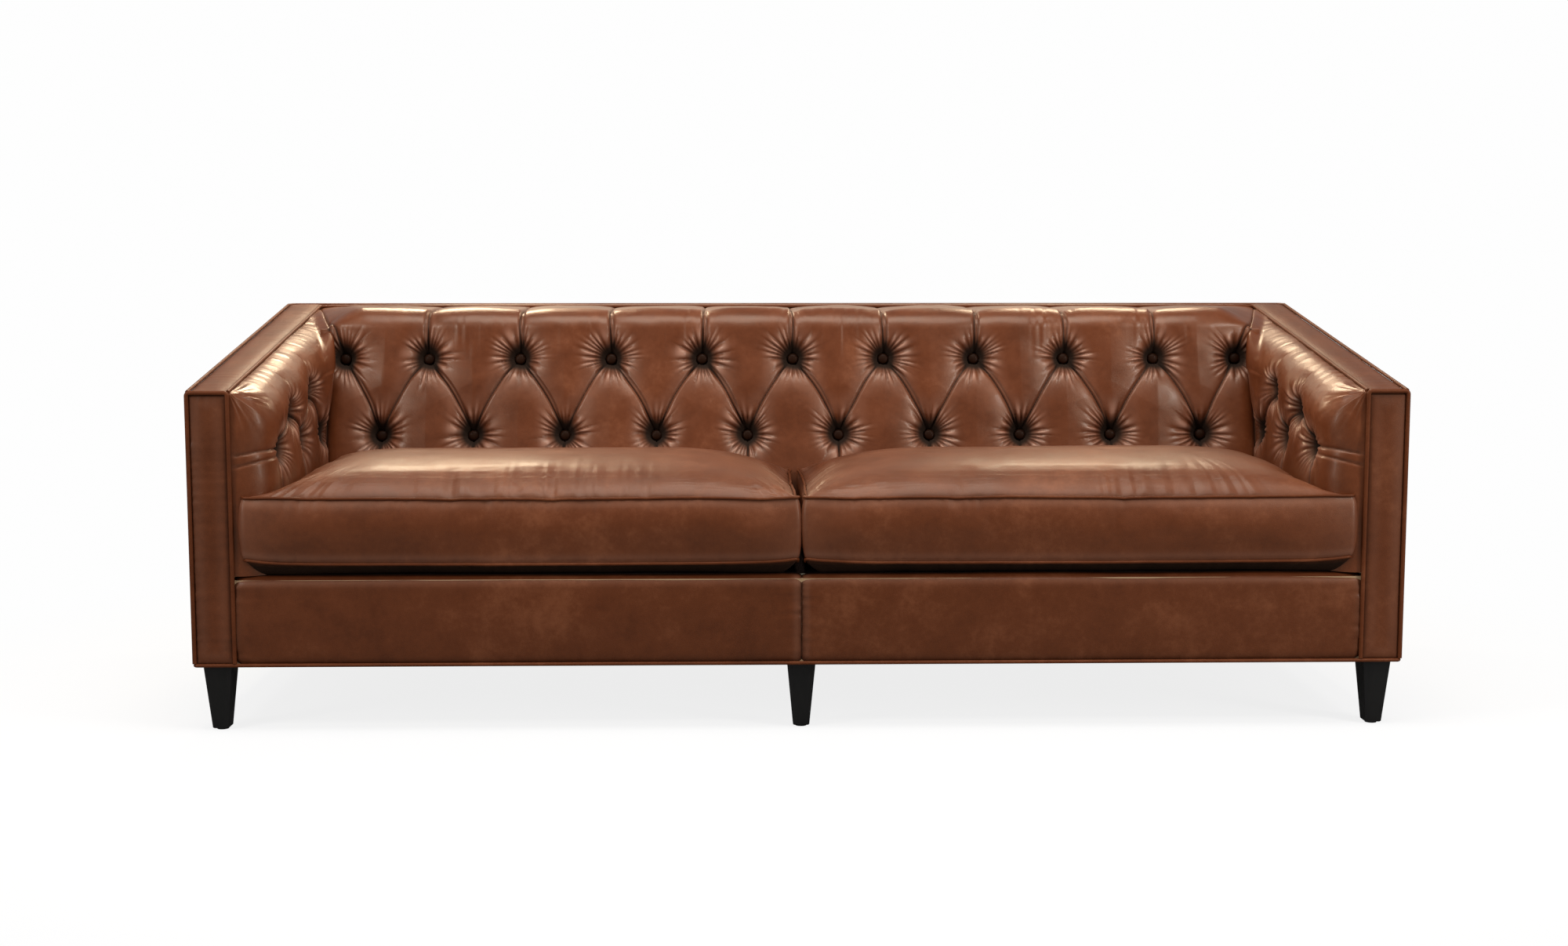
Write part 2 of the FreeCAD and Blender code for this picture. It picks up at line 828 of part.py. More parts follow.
def back_blank(inset, open_by):
    """The inside back's pad before it is buttoned: a raked face, a roll and a level top."""
    centre = back_roll()
    radius = size.back_roll_radius - inset
    face_top = centre - back_in * radius
    roll_mid_angle = (math.pi / 2 + rake_angle) / 2
    turned = roll_mid_angle - rake_angle
    mid = centre + Vector(0, -math.sin(turned), math.cos(turned)) * radius
    top_front = centre + Vector(0, 0, radius)
    base_z = size.pad_base - open_by
    top_rear_y = size.pad_rear + open_by
    board_top = size.top_board_top - open_by
    face_low = face_top - back_up * ((face_top.z - base_z) / math.cos(rake_angle))
    rear_shift = Vector(0, size.back_pad_depth + open_by, 0)
    rear_low = back_point(0, base_z) + rear_shift
    rear_high = back_point(0, board_top) + rear_shift
    edges = [
        Part.makeLine(face_low, face_top),
        Part.Arc(face_top, mid, top_front).toShape(),
        Part.makeLine(top_front, Vector(0, top_rear_y, top_front.z)),
        Part.makeLine(Vector(0, top_rear_y, top_front.z), Vector(0, top_rear_y, board_top)),
        Part.makeLine(Vector(0, top_rear_y, board_top), rear_high),
        Part.makeLine(rear_high, rear_low),
        Part.makeLine(rear_low, face_low),
    ]
    reach = size.pad_side + open_by
    face = Part.Face(Part.Wire(edges)).translated(Vector(-reach, 0, 0))
    return face.extrude(Vector(2 * reach, 0, 0))


def mitre_points(clear):
    """The plan of the corner seam between the right arm's pad and the inside back's."""
    start = Vector(size.arm_crest, size.front_y + size.mitre_setback, 0)
    end = Vector(size.welt_inner, size.welt_back, 0)
    along = (end - start).normalize()
    shift = Vector(along.y, -along.x, 0) * clear
    return start + shift, end + shift, along


def arm_region(clear):
    """All that lies on the right arm's side of the corner seam, a clearance away from it."""
    start, end, along = mitre_points(clear)
    beyond = end + along * size.arm_width
    first_x = size.arm_crest + clear
    corner_y = start.y + (first_x - start.x) * along.y / along.x
    low = Vector(0, 0, -size.overrun)
    points = [
        Vector(first_x, size.front_y, 0),
        Vector(first_x, corner_y, 0),
        beyond,
        Vector(size.overall_width, beyond.y, 0),
        Vector(size.overall_width, size.front_y, 0),
    ]
    face = Part.Face(Part.makePolygon([*points, points[0]])).translated(low)
    return face.extrude(Vector(0, 0, size.overall_height + 2 * size.overrun))


def back_tools(inset):
    """The pits and pleats of the inside back."""
    tools = [tuft(point, back_in, inset) for point in [*upper_row, *corner_row, *lower_row]]
    tops = sorted([*upper_row, *corner_row], key=lambda point: point.x)
    for low in lower_row:
        beside = [point for point in tops if abs(point.x - low.x) < size.button_spacing * 0.75]
        for high in beside:
            tools.append(pleat(low, high, back_in, inset))
        foot = back_point(low.x, size.pad_base) - back_up * size.overrun
        tools.append(pleat(low, foot, back_in, inset))
    roll = back_roll()
    turn = math.degrees(math.pi / 2 - rake_angle)
    for high in upper_row:
        centre = Vector(high.x, roll.y, roll.z)
        roll_start = centre - back_in * size.back_roll_radius
        tools.append(pleat(high, roll_start, back_in, inset))
        arc = round_pleat(centre, Vector(-1, 0, 0), -back_in, size.back_roll_radius, turn, inset)
        tools.append(arc)
        top = Vector(high.x, roll.y, size.face_top)
        rear = Vector(high.x, size.pad_rear + size.overrun, size.face_top)
        tools.append(pleat(top, rear, Vector(0, 0, -1), inset))
    return tools


def back_pad(inset, open_by):
    """The inside back's pad with its buttons drawn in."""
    pad = back_blank(inset, open_by)
    right = arm_region(open_by)
    pad = pad.cut([right, right.transformGeometry(left_to_right)])
    return pad.cut(back_tools(inset))


def arm_blank(inset, open_by):
    """The right arm's pad before it is buttoned: a round nose and a roll along the sloping top."""
    crest = size.arm_crest + inset
    outer = size.pad_side + open_by
    nose_radius = size.arm_nose_radius - inset
    nose_x = size.arm_crest + size.arm_nose_radius
    nose_y = size.frame_front + size.arm_nose_radius
    diagonal = nose_radius * math.sqrt(0.5)
    base = size.pad_base - open_by
    rear = size.welt_back + open_by

    def at(x, y):
        return Vector(x, y, base)

    side_end = at(crest, nose_y)
    front_end = at(nose_x, nose_y - nose_radius)
    edges = [
        Part.makeLine(at(crest, rear), side_end),
        Part.Arc(side_end, at(nose_x - diagonal, nose_y - diagonal), front_end).toShape(),
        Part.makeLine(front_end, at(size.half_width, front_end.y)),
        Part.makeLine(at(size.half_width, front_end.y), at(size.half_width, rear)),
        Part.makeLine(at(size.half_width, rear), at(crest, rear)),
    ]
    plan = Part.Face(Part.Wire(edges)).extrude(Vector(0, 0, size.overall_height))
    roll_radius = size.arm_roll_radius - inset
    roll_x = size.arm_crest + size.arm_roll_radius
    front = size.face_front
    roll_z = arm_top(front) - size.arm_roll_radius
    diagonal = roll_radius * math.sqrt(0.5)
    roll_top = roll_z + roll_radius

    def up(x, z):
        return Vector(x, front, z)

    edges = [
        Part.makeLine(up(crest, base), up(crest, roll_z)),
        Part.Arc(
            up(crest, roll_z),
            up(roll_x - diagonal, roll_z + diagonal),
            up(roll_x, roll_top),
        ).toShape(),
        Part.makeLine(up(roll_x, roll_top), up(size.half_width, roll_top)),
        Part.makeLine(up(size.half_width, roll_top), up(size.half_width, base)),
        Part.makeLine(up(size.half_width, base), up(crest, base)),
    ]
    run = rear - front
    section = Part.Face(Part.Wire(edges)).extrude(Vector(0, run, run * size.top_slope))
    slab = Part.makeBox(
        outer - size.arm_crest + inset,
        run,
        size.overall_height,
        Vector(size.arm_crest - inset, front, base),
    )
    return plan.common(section).common(slab)


def arm_rear_keepout(open_by):
    """The board and frame behind the raked back, which the arm's pad stops at."""
    base_z = size.pad_base - open_by - size.overrun
    shift = Vector(0, size.back_pad_depth + open_by, 0)
    board_top = size.top_board_top - open_by
    far = size.overall_depth
    points = [
        back_point(0, base_z) + shift,
        back_point(0, board_top) + shift,
        Vector(0, far, board_top),
        Vector(0, far, base_z),
    ]
    return Part.Face(Part.makePolygon([*points, points[0]])).extrude(Vector(size.overall_width, 0, 0))


def arm_tools(inset):
    """The pits and pleats of the right arm."""
    tools = [tuft(point, arm_in, inset) for point in [*arm_lower_row, *arm_upper_row]]
    tools.append(tuft(corner_row[1], back_in, inset))
    for low in arm_lower_row:
        for high in arm_upper_row:
            if abs(high.y - low.y) < size.button_spacing * 0.75:
                tools.append(pleat(low, high, arm_in, inset))
        foot = arm_point(low.y, size.pad_base - size.overrun)
        tools.append(pleat(low, foot, arm_in, inset))
    roll_x = size.arm_crest + size.arm_roll_radius
    for high in arm_upper_row:
        roll_z = arm_top(high.y) - size.arm_roll_radius
        centre = Vector(roll_x, high.y, roll_z)
        tools.append(pleat(high, arm_point(high.y, roll_z), arm_in, inset))
        tools.append(round_pleat(centre, Vector(0, 1, 0), -arm_in, size.arm_roll_radius, 90, inset))
    first = arm_lower_row[0]
    nose_y = size.frame_front + size.arm_nose_radius
    centre = Vector(size.arm_crest + size.arm_nose_radius, nose_y, first.z)
    tools.append(pleat(first, arm_point(nose_y, first.z), arm_in, inset))
    tools.append(round_pleat(centre, Vector(0, 0, 1), -arm_in, size.arm_nose_radius, 90, inset))
    return tools


def arm_pad(inset, open_by):
    """The right arm's pad with its buttons drawn in."""
    pad = arm_blank(inset, open_by).common(arm_region(-open_by)).cut(arm_rear_keepout(open_by))
    for tool in arm_tools(inset):
        pad = pad.cut(tool)
    return pad


def twine_holes(rows, into, radius, reach):
    """Straight holes behind a row of buttons."""
    return [Part.makeCylinder(radius, reach, point, into) for point in rows]


back_rows = [*upper_row, *corner_row, *lower_row]
arm_rows = [*arm_lower_row, *arm_upper_row]
back_reach = (size.back_pad_depth + size.back_board_thickness) * math.cos(rake_angle)
arm_reach = size.panel_inner - size.arm_crest


def buttoned_pads():
    """The leather and the filling of the inside back and the inside arms."""
    hole_radius = size.twine_radius + size.twine_clearance
    back_holes = twine_holes(back_rows, back_in, hole_radius, back_reach + size.overrun)
    arm_holes = twine_holes(arm_rows, arm_in, hole_radius, arm_reach + size.overrun)
    opening = size.overrun * 2
    hide = back_pad(0, 0).cut(back_pad(size.leather, opening)).cut(back_holes)
    keep(formed("inside_back_leather", hide))
    filling = back_pad(size.leather + size.seat_gap, 0).cut(back_holes)
    keep(formed("inside_back_foam", filling))
    hide = arm_pad(0, 0).cut(arm_pad(size.leather, opening)).cut(arm_holes)
    right = keep(formed("inside_arm_leather_right", hide))
    keep(mirrored("inside_arm_leather_left", right))
    filling = arm_pad(size.leather + size.seat_gap, 0).cut(arm_holes)
    foam = formed("inside_arm_foam", filling)
    keep(both_sides("inside_arm_foams", [foam]))
    back_drill = formed("back_board_holes", Part.makeCompound(back_holes))
    keep(cut("back_board", back_board(), back_drill))
    arm_drill = formed("arm_board_holes", Part.makeCompound(arm_holes))
    drilled = cut("arm_board_drilled", arm_board(), arm_drill)
    keep(both_sides("arm_boards", [drilled]))


def button(point, into):
    """A leather button with a low dome, seated in its pit."""
    seat = point + into * (size.tuft_depth - size.seat_gap)
    rim = size.button_height * button_rim_share
    rise = size.button_height - rim
    dome_radius = (size.button_radius**2 + rise**2) / (2 * rise)
    centre = seat - into * (size.button_height - dome_radius)
    dome = Part.makeSphere(dome_radius, centre, into * -1)
    return Part.makeCylinder(size.button_radius, size.button_height, seat, into * -1).common(dome)


def tie(point, into, reach):
    """The twine from a button to a washer behind the board."""
    start = point + into * (size.tuft_depth - size.seat_gap)
    length = reach - size.tuft_depth + size.seat_gap + size.washer_thickness
    twine = Part.makeCylinder(size.twine_radius, length, start, into)
    washer = Part.makeCylinder(size.washer_radius, size.washer_thickness, point + into * reach, into)
    return twine.fuse(washer).removeSplitter()


def buttons():
    """Every button, with the twine and washer that draw it in."""
    keep(formed("back_buttons", Part.makeCompound([button(point, back_in) for point in back_rows])))
    right = Part.makeCompound([button(point, arm_in) for point in arm_rows])
    keep(both_sides("arm_buttons", [formed("arm_button_row", right)]))
    back_ties = Part.makeCompound([tie(point, back_in, back_reach) for point in back_rows])
    arm_ties = formed("arm_tie_row", Part.makeCompound([tie(point, arm_in, arm_reach) for point in arm_rows]))
    left_ties = mirrored("arm_tie_row_twin", arm_ties)
    keep(group("button_ties", [formed("back_tie_rows", back_ties), arm_ties, left_ties]))


# Outer panels


def arm_panels():
    """The leather panels on the front, top and outside of the right arm, and their twins."""
    front = box(
        "arm_front_panel_right",
        ("panel_inner", "panel_side"),
        ("face_front", "frame_front"),
        ("panel_bottom", "arm_front_face - skin - seat_gap"),
    )
    top_front = "welt_front + welt_keep"
    top = plate(
        "arm_top_panel_right",
        "panel_inner",
        "panel_side",
        [
            (top_front, slope_top(top_front, "skin")),
            ("bend_y", "face_top - skin"),
            ("welt_rear - welt_keep", "face_top - skin"),
            ("welt_rear - welt_keep", "face_top"),
            ("bend_y", "face_top"),
            (top_front, slope_top(top_front)),
        ],
    )
    outside = plate(
        "outside_arm_panel_right",
        "frame_side",
        "face_side",
        [
            ("frame_front", "panel_bottom"),
            ("frame_rear", "panel_bottom"),
            ("frame_rear", "face_top - skin - seat_gap"),
            ("bend_y", "face_top - skin - seat_gap"),
            ("frame_front", slope_top("frame_front", "skin + seat_gap")),
        ],
    )
    for piece in (front, top, outside):
        keep(piece)
        keep(mirrored(piece.Label.replace("right", "left"), piece))


def base_panel():
    """The right half of the padded front below the cushions, lapped over the front rail."""
    panel = plate(
        "front_panel_right",
        "seat_gap / 2",
        "pad_side",
        [
            ("face_front", "panel_bottom"),
            ("frame_front", "panel_bottom"),
            ("frame_front", "deck_height - skin"),
            ("rail_inner_front", "deck_height - skin"),
            ("rail_inner_front", "deck_height"),
            ("face_front", "deck_height"),
        ],
    )
    doc.recompute()
    pad = panel.Tip
    edges = []
    for i, edge in enumerate(pad.Shape.Edges):
        low, high = edge.Vertexes[0].Point, edge.Vertexes[-1].Point
        level = abs(low.z - size.deck_height) + abs(high.z - size.deck_height)
        front = abs(low.y - size.face_front) + abs(high.y - size.face_front)
        if level + front < size.bolt_clearance:
            edges.append(f"Edge{i + 1}")
    rounded_edge = panel.newObject("PartDesign::Fillet", "front_panel_round")
    rounded_edge.Base = (pad, edges)
    rounded_edge.setExpression("Radius", mm("skin - seat_gap"))
    keep(panel)
    keep(mirrored("front_panel_left", panel))


def back_panels():
    """The leather panels on the back's top and outside, and the cloth under the frame."""
    keep(
        box(
            "back_top_panel",
            ("0 - panel_inner + seat_gap", "panel_inner - seat_gap"),
            ("welt_back + welt_keep", "welt_rear - welt_keep"),
            ("face_top - skin", "face_top"),
        )
    )
    keep(
        box(
            "outside_back_panel",
            ("0 - panel_side", "panel_side"),
            ("frame_rear", "face_rear"),
            ("panel_bottom", "face_top - skin - seat_gap"),
        )
    )
    sheet_blank = box(
        "dust_cover_blank",
        ("0 - frame_side", "frame_side"),
        ("frame_front", "frame_rear"),
        ("leg_height", "frame_bottom"),
    )
    hole = rod(
        "dust_cover_hole",
        "dust_hole_radius",
        "leg_height - overrun",
        "frame_bottom + overrun",
    )
    holes = copies("dust_cover_holes", hole, bolt_places)
    keep(cut("dust_cover", sheet_blank, holes))


# Welts


def bent_path(points, radius):
    """Straight runs joined by arcs that are tangent to them."""
    edges = []
    start = points[0]
    for before, corner, after in zip(points, points[1:], points[2:], strict=False):
        back = (before - corner).normalize()
        on = (after - corner).normalize()
        half = back.getAngle(on) / 2
        reach = radius / math.tan(half)
        bisector = (back + on).normalize()
        middle = corner + bisector * (radius / math.sin(half) - radius)
        edges.append(Part.makeLine(start, corner + back * reach))
        edges.append(Part.Arc(corner + back * reach, middle, corner + on * reach).toShape())
        start = corner + on * reach
    edges.append(Part.makeLine(start, points[-1]))
    return Part.Wire(edges)


def welt_z(y):
    """The level of a welt's centre along the sloping top."""
    return min(arm_top(y), size.face_top) + size.welt_rise


def top_welt(x, rear, front):
    """A welt that runs up one arm, across the back and down the other arm."""
    half = [
        Vector(x, front, welt_z(front)),
        Vector(x, size.bend_y, welt_z(size.bend_y)),
        Vector(x, rear, welt_z(size.bend_y)),
    ]
    if rear < size.bend_y:
        half = [Vector(x, front, welt_z(front)), Vector(x, rear, welt_z(rear))]
    other = [Vector(-point.x, point.y, point.z) for point in reversed(half)]
    return tube(bent_path([*half, *other], size.welt_bend), size.welt_radius)


def welts():
    """The piping along the sofa's edges."""
    x, front, rear = size.welt_side, size.welt_front, size.welt_rear
    low, foot = size.welt_bottom, size.panel_bottom
    ring = [
        Vector(0, front, low),
        Vector(x, front, low),
        Vector(x, rear, low),
        Vector(-x, rear, low),
        Vector(-x, front, low),
        Vector(0, front, low),
    ]
    keep(formed("bottom_welt", tube(bent_path(ring, size.welt_bend), size.welt_radius)))
    start = front + size.welt_keep
    outer = top_welt(x, rear, start + size.welt_radius)
    inner = top_welt(size.welt_inner, size.welt_back, start + size.welt_radius)
    keep(formed("top_welts", Part.makeCompound([outer, inner])))
    high = size.arm_front_height - size.welt_radius
    arch = [
        Vector(size.welt_inner, front, foot),
        Vector(size.welt_inner, front, high),
        Vector(x, front, high),
        Vector(x, front, foot),
    ]
    arch_welt = formed("arm_front_welt", tube(bent_path(arch, size.welt_bend), size.welt_radius))
    keep(both_sides("arm_front_welts", [arch_welt]))
    corner = rod(
        "back_corner_welt",
        "welt_radius",
        "panel_bottom",
        "face_top + welt_rise - welt_keep",
        "welt_side",
        "welt_rear",
    )
    keep(both_sides("back_corner_welts", [corner]))


# Seat cushions


def crown_share(place):
    """How high the cushion's crown is at a place across it, from -1 at one seam to 1 at the other."""
    return max(1 - abs(place) ** 2.6, 0) ** 0.62


def crest_line(z):
    """How far back the inside back's face is at the height z."""
    return back_point(0, z).y


def cushion_rear(z):
    """How far back the cushion's rear boxing is at the height z."""
    return crest_line(z) - size.cushion_rear_gap


def cushion_plan(inset, rear):
    """The plan of the right cushion, with an ear before the arm's round nose and rounded corners."""
    left, side, tip = size.cushion_inner, size.cushion_outer, size.ear_reach
    nose_x = size.arm_crest + size.arm_nose_radius
    nose_y = size.frame_front + size.arm_nose_radius
    radius = size.arm_nose_radius + size.cushion_side_gap
    tip_y = nose_y - math.sqrt(radius**2 - (nose_x - tip) ** 2)
    diagonal = radius * math.sqrt(0.5)
    edges = [
        Part.makeLine(Vector(left, size.cushion_front, 0), Vector(tip, size.cushion_front, 0)),
        Part.makeLine(Vector(tip, size.cushion_front, 0), Vector(tip, tip_y, 0)),
        Part.Arc(
            Vector(tip, tip_y, 0),
            Vector(nose_x - diagonal, nose_y - diagonal, 0),
            Vector(side, nose_y, 0),
        ).toShape(),
        Part.makeLine(Vector(side, nose_y, 0), Vector(side, rear, 0)),
        Part.makeLine(Vector(side, rear, 0), Vector(left, rear, 0)),
        Part.makeLine(Vector(left, rear, 0), Vector(left, size.cushion_front, 0)),
    ]
    plan = Part.Face(Part.Wire(edges))
    return plan.makeOffset2D(-size.cushion_round).makeOffset2D(size.cushion_round - inset)


def crown_section(x, height, inset):
    """The crown's outline at x, from the front seam over the top to the rear seam."""
    top = size.seam_top - inset
    front, rear = size.cushion_front + inset, cushion_rear(top) - inset
    middle, half = (front + rear) / 2, (rear - front) / 2
    marks = [
        Vector(x, middle + half * place, top + height * crown_share(place))
        for place in crown_place_shares
    ]
    edges = [
        Part.Arc(marks[i], marks[i + 1], marks[i + 2]).toShape()
        for i in range(0, len(marks) - 1, 2)
    ]
    return Part.Wire([*edges, Part.makeLine(marks[-1], marks[0])])


def belly_section(x, inset):
    """The belly's outline at x, with a rounded front and rear and a flat that rests on the deck."""
    bottom, rest = size.seam_bottom + inset, size.pad_base + inset
    front, rear = size.cushion_front + inset, cushion_rear(bottom) - inset
    slope, rise = size.belly_slope, bottom - rest
    radius = (slope**2 + rise**2) / (2 * rise)
    half_turn = math.atan2(rise, slope)
    run = slope - radius * math.sin(half_turn)
    mid_z = rest + radius * (1 - math.cos(half_turn))
    edges = [
        Part.makeLine(Vector(x, front, bottom), Vector(x, rear, bottom)),
        Part.Arc(
            Vector(x, rear, bottom),
            Vector(x, rear - run, mid_z),
            Vector(x, rear - slope, rest),
        ).toShape(),
        Part.makeLine(Vector(x, rear - slope, rest), Vector(x, front + slope, rest)),
        Part.Arc(
            Vector(x, front + slope, rest),
            Vector(x, front + run, mid_z),
            Vector(x, front, bottom),
        ).toShape(),
    ]
    return Part.Wire(edges)


def nose_section(x, bulge, inset):
    """The outline at x of what the front boxing bulges out beyond its seams."""
    low, high = size.seam_bottom + inset, size.seam_top - inset
    front = size.cushion_front + inset
    start, end = Vector(x, front, low), Vector(x, front, high)
    arc = Part.Arc(start, Vector(x, front - bulge, (low + high) / 2), end).toShape()
    return Part.Wire([arc, Part.makeLine(end, start)])


def cushion_form(inset):
    """The right cushion, all its faces drawn in by the inset."""
    low, high = size.seam_bottom + inset, size.seam_top - inset
    rear_low, rear_high = cushion_rear(low), cushion_rear(high)
    height = size.overall_height
    plan = cushion_plan(inset, rear_high)
    column = plan.extrude(Vector(0, 0, height))
    boxing = plan.translated(Vector(0, 0, low)).extrude(Vector(0, 0, high - low))
    wedge = [
        Vector(0, rear_low - inset, low),
        Vector(0, rear_high - inset, high),
        Vector(0, size.overall_depth, high),
        Vector(0, size.overall_depth, low),
    ]
    behind = Part.Face(Part.makePolygon([*wedge, wedge[0]])).extrude(Vector(size.overall_width, 0, 0))
    left, right = size.cushion_inner + inset, size.cushion_outer - inset
    middle, half = (left + right) / 2, (right - left) / 2
    crowns = [
        crown_section(
            middle + half * share,
            (size.crown - inset) * max(crown_share(share), crown_least_share),
            inset,
        )
        for share in crown_station_shares
    ]
    crown = Part.makeLoft(crowns, True, True).common(column)
    belly = Part.Face(belly_section(left, inset)).extrude(Vector(right - left, 0, 0)).common(column)
    corner = size.cushion_round
    nose_end = size.ear_reach - corner * 4 - inset
    stops = [
        (left + corner, size.seat_gap),
        (left + corner * 6, size.cushion_nose),
        (nose_end - corner * 5, size.cushion_nose),
        (nose_end, size.seat_gap),
    ]
    noses = [nose_section(x, bulge, inset) for x, bulge in stops]
    nose = Part.makeLoft(noses, True, True)
    return boxing.cut(behind).fuse([crown, belly, nose])


def from_middle(wire):
    """The same closed path, begun in the middle of its longest edge."""
    edges = wire.OrderedEdges
    longest = max(range(len(edges)), key=lambda i: edges[i].Length)
    turned = edges[longest:] + edges[:longest]
    start, end = (vertex.Point for vertex in turned[0].Vertexes)
    if turned[1].Vertexes[0].Point.distanceToPoint(start) < size.seat_gap:
        start, end = end, start
    if turned[1].Vertexes[-1].Point.distanceToPoint(start) < size.seat_gap:
        start, end = end, start
    middle = (start + end) * 0.5
    return Part.Wire([Part.makeLine(middle, end), *turned[1:], Part.makeLine(start, middle)])


def cushion_ring(z):
    """The piping round the cushion at one seam."""
    plan = cushion_plan(size.pipe_sink, cushion_rear(z))
    return tube(from_middle(plan.OuterWire), size.pipe_radius).translated(Vector(0, 0, z))


def cushions():
    """Two loose cushions, each a foam core in a boxed leather cover with piped seams."""
    outer = cushion_form(0)
    rings = [cushion_ring(size.seam_top), cushion_ring(size.seam_bottom)]
    cover = outer.cut(cushion_form(size.cover)).cut(rings)
    pieces = {
        "cushion_cover": cover,
        "cushion_core": cushion_form(size.cover + size.seat_gap),
        "cushion_piping": Part.makeCompound(rings),
    }
    for label, shape in pieces.items():
        right = keep(formed(label + "_right", shape))
        keep(mirrored(label + "_left", right))


def zips():
    """The zip along the rear of each cushion, with its slider."""
    top, bottom = size.seam_top, size.seam_bottom
    middle_z = (top + bottom) / 2
    foot = Vector(size.cushion_middle, crest_line(middle_z) - size.cushion_rear_gap, middle_z)

    def plank(long, wide, thick, start, up=0, off=0):
        """A flat strip on the cushion's raked rear face, start along X from the zip's middle."""
        corner = Vector(start, off, up - wide / 2)
        return Part.makeBox(long, thick, wide, corner)

    half = size.zip_length / 2
    tape = plank(size.zip_length, size.tape_width, size.tape_thickness, -half)
    teeth_half = half - size.slider_length
    teeth = plank(2 * teeth_half, size.teeth_width, size.teeth_thickness, -teeth_half, 0, size.tape_thickness)
    gap, wall = size.seat_gap, size.slider_wall
    start = teeth_half - size.slider_length * 1.5
    tunnel_thick = size.teeth_thickness + 2 * gap
    block = plank(
        size.slider_length,
        size.slider_width,
        size.teeth_thickness + gap + wall,
        start,
        0,
        size.tape_thickness + gap,
    )
    tunnel = plank(
        size.slider_length + 2 * size.overrun,
        size.teeth_width + 2 * gap,
        tunnel_thick,
        start - size.overrun,
        0,
        size.tape_thickness - gap,
    )
    pull = plank(
        size.pull_width,
        size.pull_length,
        wall,
        start + (size.slider_length - size.pull_width) / 2,
        -size.pull_length / 2 + size.slider_width / 2,
        size.tape_thickness + size.teeth_thickness + 2 * gap + wall,
    )
    slider = block.cut(tunnel).fuse(pull).removeSplitter()
    tilt = Matrix()
    tilt.rotateX(-rake_angle)
    tilt.move(foot)
    for label, shape in (("cushion_zip", tape.fuse(teeth).removeSplitter()), ("zip_slider", slider)):
        right = keep(formed(label + "_right", shape.transformGeometry(tilt)))
        keep(mirrored(label + "_left", right))


def check():
    """Refuses a failed feature or an unsound solid."""
    for piece in doc.Objects:
        if {"Invalid", "Error"} & set(piece.State):
            raise RuntimeError(f"{piece.Label} failed: {piece.State}")
    labels = [piece.Label for piece in kept]
    if len(set(labels)) != len(labels):
        raise RuntimeError("two sub-parts share a label")
    for piece in kept:
        shape = piece.Shape
        if shape.isNull() or not shape.isValid() or not shape.Solids:
            raise RuntimeError(f"{piece.Label} has no sound shape")


legs()
corner_blocks()
seat_frame()
arm_frame()
back_frame()
springs()
deck()
buttoned_pads()
buttons()
arm_panels()
base_panel()
back_panels()
welts()
cushions()
zips()
doc.recompute()
check()

os.makedirs("parts", exist_ok=True)
for piece in kept:
    piece.Shape.exportStep(f"parts/{piece.Label}.step")
    print(piece.Label, len(piece.Shape.Solids), "solids", round(piece.Shape.Volume), "mm3")
print(len(kept), "sub-parts")
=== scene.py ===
import math

import bmesh
import bpy
import numpy as np
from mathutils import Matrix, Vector
from mathutils.kdtree import KDTree


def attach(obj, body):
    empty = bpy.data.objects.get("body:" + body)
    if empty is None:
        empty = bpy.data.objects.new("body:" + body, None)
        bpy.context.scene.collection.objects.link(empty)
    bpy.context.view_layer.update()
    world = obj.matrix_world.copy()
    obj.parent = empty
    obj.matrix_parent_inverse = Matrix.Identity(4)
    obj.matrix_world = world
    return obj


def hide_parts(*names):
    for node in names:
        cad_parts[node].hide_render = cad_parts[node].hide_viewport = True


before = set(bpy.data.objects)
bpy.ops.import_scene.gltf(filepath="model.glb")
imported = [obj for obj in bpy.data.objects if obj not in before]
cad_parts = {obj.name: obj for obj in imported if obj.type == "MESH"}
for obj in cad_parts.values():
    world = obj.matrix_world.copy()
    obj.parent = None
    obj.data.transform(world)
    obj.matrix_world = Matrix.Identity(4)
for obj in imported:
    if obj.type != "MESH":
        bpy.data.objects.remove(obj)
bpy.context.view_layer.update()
print("frame loaded")

# the sofa's main planes, in metres, as the frame has them
sofa = dict(
    faceSide=1.147, faceFront=-0.452, faceRear=0.457, faceTop=0.791,
    armFront=0.646, bendY=0.406, armCrest=0.990, padBack=1.0672,
)
sofa["slope"] = (sofa["faceTop"] - sofa["armFront"]) / (sofa["bendY"] - sofa["faceFront"])

rake = dict(y=0.115, z=0.688, lean=40 / 163)
rake["angle"] = math.atan(rake["lean"])


def crestY(z):
    return rake["y"] + rake["lean"] * (z - rake["z"])


def armTop(y):
    return np.minimum(sofa["armFront"] + sofa["slope"] * (y - sofa["faceFront"]), sofa["faceTop"])


# small tools: soft steps, smooth noise, grids of points and meshes


def ramp(low, high, value):  # soft step from 0 to 1
    t = np.clip((value - low) / (high - low), 0, 1)
    return t * t * (3 - 2 * t)


def lattice(seed):
    return np.random.default_rng(seed).uniform(-1, 1, (64, 64))


def noise(seed, a, b, cellA, cellB=None):  # smooth noise over two coordinates
    grid = lattice(seed)
    a, b = np.asarray(a) / cellA, np.asarray(b) / (cellB or cellA)
    ia, ib = np.floor(a).astype(int), np.floor(b).astype(int)
    fa, fb = a - ia, b - ib
    fa, fb = fa * fa * (3 - 2 * fa), fb * fb * (3 - 2 * fb)
    at = lambda p, q: grid[p % 64, q % 64]
    low = at(ia, ib) * (1 - fa) + at(ia + 1, ib) * fa
    high = at(ia, ib + 1) * (1 - fa) + at(ia + 1, ib + 1) * fa
    return low * (1 - fb) + high * fb


def surfaceNormals(points):  # of a grid of points
    du = np.gradient(points, axis=0)
    dv = np.gradient(points, axis=1)
    normal = np.cross(du, dv)
    return normal / np.maximum(np.linalg.norm(normal, axis=2, keepdims=True), 1e-12)


